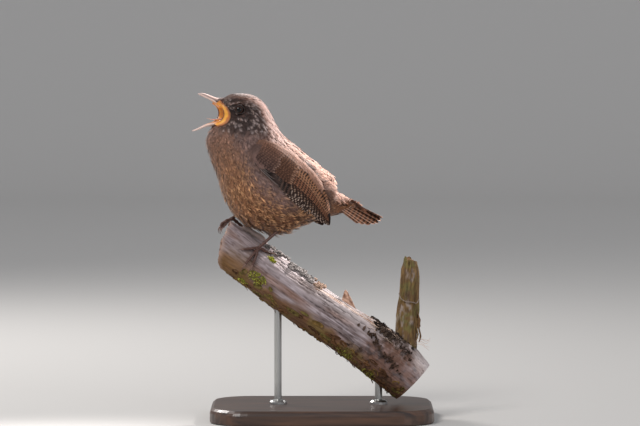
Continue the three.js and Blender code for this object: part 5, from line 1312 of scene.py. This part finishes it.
BARK, GREY, DARKBARK = lin(118, 84, 56), lin(150, 146, 140), lin(58, 46, 40)
r2 = np.random.default_rng(5)
for i in range(190):                     # the rough bark left along the underside
    t, deg = r2.uniform(1.45, 6.7), r2.choice([-1, 1]) * r2.uniform(112, 180)
    flake(t, deg, r2.uniform(2.0, 6.0), r2.uniform(1.2, 2.6), r2.uniform(0.15, 0.45), r2.uniform(0.1, 0.9), [BARK, lin(136, 108, 62), lin(92, 64, 44), lin(120, 106, 60)][i % 4], 100 + i, r2.uniform(-0.4, 0.4))
for u0, v0, u1, v1, count, colour, big in ((264, 247, 284, 256, 16, lin(140, 132, 128), 1.0), (286, 262, 314, 281, 26, lin(158, 150, 146), 1.2), (312, 280, 326, 289, 10, lin(190, 160, 140), 1.0), (374, 320, 408, 352, 90, lin(66, 54, 47), 0.7), (378, 326, 402, 350, 50, lin(118, 100, 88), 0.6), (370, 332, 400, 372, 60, lin(92, 72, 60), 0.55), (340, 330, 360, 350, 8, lin(104, 84, 74), 0.6)):
    for i in range(count):
        f = r2.uniform()
        x, z = px(lerp(u0, u1, f) + r2.uniform(-3, 3), lerp(v0, v1, f) + r2.uniform(-3.5, 3.5))
        t, deg = on_branch(x, z)
        flake(t, deg * r2.choice([1, 1, 0.6]), r2.uniform(1.4, 3.6) * big, r2.uniform(1.0, 2.2) * big, r2.uniform(0.25, 0.7), r2.uniform(0.3, 1.0), colour * r2.uniform(0.7, 1.2), 400 + i + int(u0), r2.uniform(-1.4, 1.4))
gather_tubes("branch_bark", flakes, M_BARK)

# splinters and curled strips
flakes = []
pale = lin(206, 168, 146)
for base0, base1, tip, thick in (([9.2, 55.0], [17.4, 49.9], [11.4, 61.6], 0.9), ([11.5, 54.0], [15.0, 51.5], [12.6, 59.4], 0.5)):
    n, m = 20, 12
    k, q = np.meshgrid(np.linspace(0, 1, n), np.linspace(0, 2 * math.pi, m, endpoint=False), indexing="ij")
    cen = lerp((np.array(base0) + base1) / 2, np.array(tip), k[..., None])
    wide = np.linalg.norm(np.array(base1) - base0) / 2 * (1 - k) ** 0.8 + 0.12
    ax = unit(np.array(base1) - base0)
    X = np.stack([cen[..., 0] + ax[0] * wide * np.cos(q), -1.2 + thick * (1 - 0.7 * k) * np.sin(q) + 0.5 * np.sin(3 * k), cen[..., 1] + ax[1] * wide * np.cos(q)], -1)
    X = X + 0.15 * noise(X, 1.3, 111)[..., None]
    col = mixc(np.broadcast_to(pale, X.shape), lin(120, 84, 66), np.clip(0.4 + 0.8 * noise(X * [3, 3, 0.6], 0.8, 113), 0, 1))
    V = np.vstack([X.reshape(-1, 3), X[0].mean(0), X[-1].mean(0)])
    C = np.vstack([col.reshape(-1, 3), pale, pale])
    j = np.arange(m)
    caps = np.vstack([np.stack([(j + 1) % m, j, np.full(m, n * m)], -1), np.stack([(n - 1) * m + j, (n - 1) * m + (j + 1) % m, np.full(m, n * m + 1)], -1)])
    flakes.append((V, grid_faces(n, m, wrap=True), caps, C))


def fibre(points, width, colour, n=24):
    flakes.append(tube(points, lambda k, q: width * (0.35 + 0.65 * np.sin(math.pi * np.clip(k, 0.04, 0.96))) + 0 * q, lambda k, q, X: np.broadcast_to(colour, X.shape), n, 7, 0.45))


curl = [(x, -y, z) for x, y, z in ((36.6, 3.2, 60.0), (37.6, 4.6, 57.6), (40.0, 5.1, 56.2), (42.6, 4.9, 55.9), (45.0, 3.8, 55.4), (46.1, 1.6, 57.0))]
fibre(curl, 0.5, lin(140, 126, 116), 40)
flap = [(45.4, -2.6, 51.2), (46.2, -2.8, 48.0), (46.1, -3.0, 43.6), (46.9, -3.0, 39.6), (46.2, -3.2, 36.6)]
fibre(flap, 1.0, lin(104, 78, 54), 40)
fibre([(x - 1.2, y + 0.6, z + 0.8) for x, y, z in flap], 0.8, lin(132, 104, 66), 40)
for i in range(5):
    z0 = 35.2 + 0.7 * i
    fibre([(44.0, -4.2 + 0.4 * i, z0), (47.0, -4.6 + 0.5 * i, z0 + 0.5), (49.4, -4.4 + 0.5 * i, z0 + r2.uniform(-1.6, 0.6)), (51.0 + 0.2 * i, -4.0 + 0.3 * i, z0 + r2.uniform(-3.0, 1.2))], 0.16, lin(216, 178, 156), 30)
for i in range(46):                      # torn fibres beside the peeled strip, and shreds hanging under the bark
    if i < 20:
        t0, deg = r2.uniform(4.15, 5.6), 33 + r2.uniform(-14, 24)
        pts = [branch_point(t0, deg, 0.1), branch_point(t0 + 0.06, deg + r2.uniform(-2, 2), r2.uniform(0.3, 0.8)), branch_point(t0 + 0.16, deg + r2.uniform(-3, 3), r2.uniform(0.4, 1.0)), branch_point(t0 + 0.27, deg + r2.uniform(-4, 4), r2.uniform(0.1, 1.3))]
        fibre(pts, r2.uniform(0.12, 0.28), lin(230, 200, 178) * r2.uniform(0.6, 1.05))
    else:
        t0, deg = r2.uniform(1.2, 6.6), r2.choice([-1, 1]) * r2.uniform(135, 178)
        pts = [branch_point(t0, deg, 0.1), branch_point(t0 + 0.05, deg + 3, 0.7), branch_point(t0 + 0.11, deg + r2.uniform(-6, 8), r2.uniform(0.9, 1.6)), branch_point(t0 + 0.17, deg + r2.uniform(-8, 10), r2.uniform(0.6, 2.0))]
        fibre(pts, r2.uniform(0.15, 0.35), lin(96, 70, 50) * r2.uniform(0.6, 1.3))
gather_tubes("branch_splinters", flakes, M_WOOD)

# moss: little leafy shoots in two cushions, and specks along the bark
leaves, quads = [], []
cols = []
for cx, cz, spread, count in ((258, 276, 9.5, 420), (272, 259.5, 4.0, 170), (243, 279, 5, 90), (345, 352, 9, 150), (368, 372, 10, 150)):
    x, z = px(cx, cz)
    t0, d0 = on_branch(x, z)
    for i in range(count):
        rr, q = spread / 2.1 * math.sqrt(r2.uniform()), r2.uniform(0, 2 * math.pi)
        t, deg = t0 + rr * math.cos(q) / 20.5, d0 + math.degrees(0.55 * rr * math.sin(q) / 10.9)
        p = branch_point(np.array(t), deg, 0.05)
        out = unit(branch_point(np.array(t), deg, 1.0) - p)
        d = unit(out * 1.0 + r2.normal(0, 0.65, 3))
        side = unit(np.cross(d, r2.normal(0, 1, 3)))
        ln, w = r2.uniform(0.5, 1.5), r2.uniform(0.12, 0.24)
        b = len(leaves)
        mid = p + d * ln * 0.55 + out * 0.1
        leaves += [p - side * w * 0.5, p + side * w * 0.5, mid + side * w, mid - side * w, p + d * ln]
        quads += [(b, b + 1, b + 2, b + 3), (b + 3, b + 2, b + 4, b + 4)]
        g = mixc(lin(132, 136, 40), lin(206, 204, 96), r2.uniform()) * (0.75 if cx > 300 else 1.0)
        cols += [g * 0.45, g * 0.45, g * 0.9, g * 0.9, g * 1.15]
q4 = np.array([q for q in quads if q[2] != q[3]])
q3 = np.array([q[:3] for q in quads if q[2] == q[3]])
t_uv = np.array([[0.1 + 0.8 * ((i // 5) % 60) / 60, 0.1 + 0.8 * ((i // 5) // 60) / 20] for i in range(len(leaves))])
mesh_object("branch_moss", np.array(leaves), [q4, q3], np.array(cols), t_uv, M_MOSS)

# ------------------------------------------------------------------ stand
wood = bpy.data.materials.new("stand_walnut")
wood.use_nodes = True
nt = wood.node_tree
b = nt.nodes["Principled BSDF"]
b.inputs["Roughness"].default_value = 0.38
b.inputs["Coat Weight"].default_value = 0.25
b.inputs["Coat Roughness"].default_value = 0.2
tc, mp, nz, rp = nt.nodes.new("ShaderNodeTexCoord"), nt.nodes.new("ShaderNodeMapping"), nt.nodes.new("ShaderNodeTexNoise"), nt.nodes.new("ShaderNodeValToRGB")
mp.inputs["Scale"].default_value = (12, 190, 120)
nz.inputs["Scale"].default_value, nz.inputs["Detail"].default_value, nz.inputs["Distortion"].default_value = 2.2, 6, 0.6
nt.links.new(tc.outputs["Object"], mp.inputs["Vector"])
nt.links.new(mp.outputs[0], nz.inputs["Vector"])
nt.links.new(nz.outputs["Fac"], rp.inputs["Fac"])
rp.color_ramp.elements[0].position, rp.color_ramp.elements[0].color = 0.32, (*lin(38, 24, 18), 1)
rp.color_ramp.elements[1].position, rp.color_ramp.elements[1].color = 0.72, (*lin(92, 62, 44), 1)
nt.links.new(rp.outputs["Color"], b.inputs["Base Color"])
steel = material("stand_satin_steel", rough=0.32, spec=0.5, colour=tuple(lin(176, 176, 174)), metal=1.0)
for node, m in (("stand_base", wood), ("stand_rod_front", steel), ("stand_rod_rear", steel)):
    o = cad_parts[node]
    for sl in o.material_slots:
        sl.material = m

# ------------------------------------------------------------------ floor, light and camera
floor_mat = material("floor", rough=0.9, spec=0.1, colour=tuple(lin(204, 202, 199)))
n = 41
yy = np.concatenate([np.linspace(-2.4, 2.2, 20), 2.2 + 0.9 * np.sin(np.linspace(0, math.pi / 2, 21))])
zz = np.concatenate([np.zeros(20), 0.9 * (1 - np.cos(np.linspace(0, math.pi / 2, 21)))])
fv = [(x, y, z) for y, z in zip(yy, zz) for x in (-4.0, 4.0)] + [(-4.0, 3.1, 5.0), (4.0, 3.1, 5.0)]
me = bpy.data.meshes.new("floor")
me.from_pydata(fv, [], [(2 * i, 2 * i + 1, 2 * i + 3, 2 * i + 2) for i in range(len(fv) // 2 - 1)])
for p in me.polygons:
    p.use_smooth = True
floor = bpy.data.objects.new("floor", me)
bpy.context.scene.collection.objects.link(floor)
me.materials.append(floor_mat)

world = bpy.data.worlds.new("studio")
bpy.context.scene.world = world
world.use_nodes = True
world.node_tree.nodes["Background"].inputs["Color"].default_value = (0.93, 0.95, 1.0, 1)
world.node_tree.nodes["Background"].inputs["Strength"].default_value = 0.52


def area(name, at, to, size, power, colour=(1, 1, 1)):
    la = bpy.data.lights.new(name, "AREA")
    la.shape, la.size, la.energy, la.color = "DISK", size, power, colour
    o = bpy.data.objects.new(name, la)
    o.location = at
    o.rotation_euler = (Vector(to) - Vector(at)).to_track_quat("-Z", "Y").to_euler()
    bpy.context.scene.collection.objects.link(o)


area("key", (-0.55, -0.75, 0.95), (-0.02, 0, 0.11), 0.45, 6.6, (1.0, 0.97, 0.94))
spot = bpy.data.lights.new("rim", "SPOT")
spot.energy, spot.color, spot.spot_size, spot.spot_blend, spot.shadow_soft_size = 80.0, (1.0, 0.96, 0.945), math.radians(18.5), 1.0, 0.04
so = bpy.data.objects.new("rim", spot)
so.location = (0.342, 0.284, 0.345)
so.rotation_euler = (Vector((-0.014, 0, 0.134)) - Vector(so.location)).to_track_quat("-Z", "Y").to_euler()
bpy.context.scene.collection.objects.link(so)
area("kicker", (-0.42, 0.50, 0.56), (-0.03, 0, 0.13), 0.25, 3.4, (1.0, 0.97, 0.95))
area("fill", (0.8, -0.9, 0.35), (0, 0, 0.1), 0.7, 2.2, (0.95, 0.97, 1.0))

cam = bpy.data.cameras.new("camera")
cam.type, cam.lens, cam.sensor_width = "PERSP", 200, 36
cam.clip_start, cam.clip_end = 0.05, 30
co = bpy.data.objects.new("camera", cam)
el, dist, aim = math.radians(3.0), 1.693, Vector((-0.00095, 0, 0.0981))
co.location = aim - Vector((0, math.cos(el), -math.sin(el))) * dist
co.rotation_euler = (aim - co.location).to_track_quat("-Z", "Y").to_euler()
bpy.context.scene.collection.objects.link(co)
bpy.context.scene.camera = co
bpy.context.scene.view_settings.view_transform = "Standard"

total = 0
for o in made:
    k = sum(len(p.vertices) - 2 for p in o.data.polygons) if len(o.data.polygons) < 4000 else int(len(o.data.loops) - 2 * len(o.data.polygons))
    total += k
    print(o.name, k)
print("triangles", total)
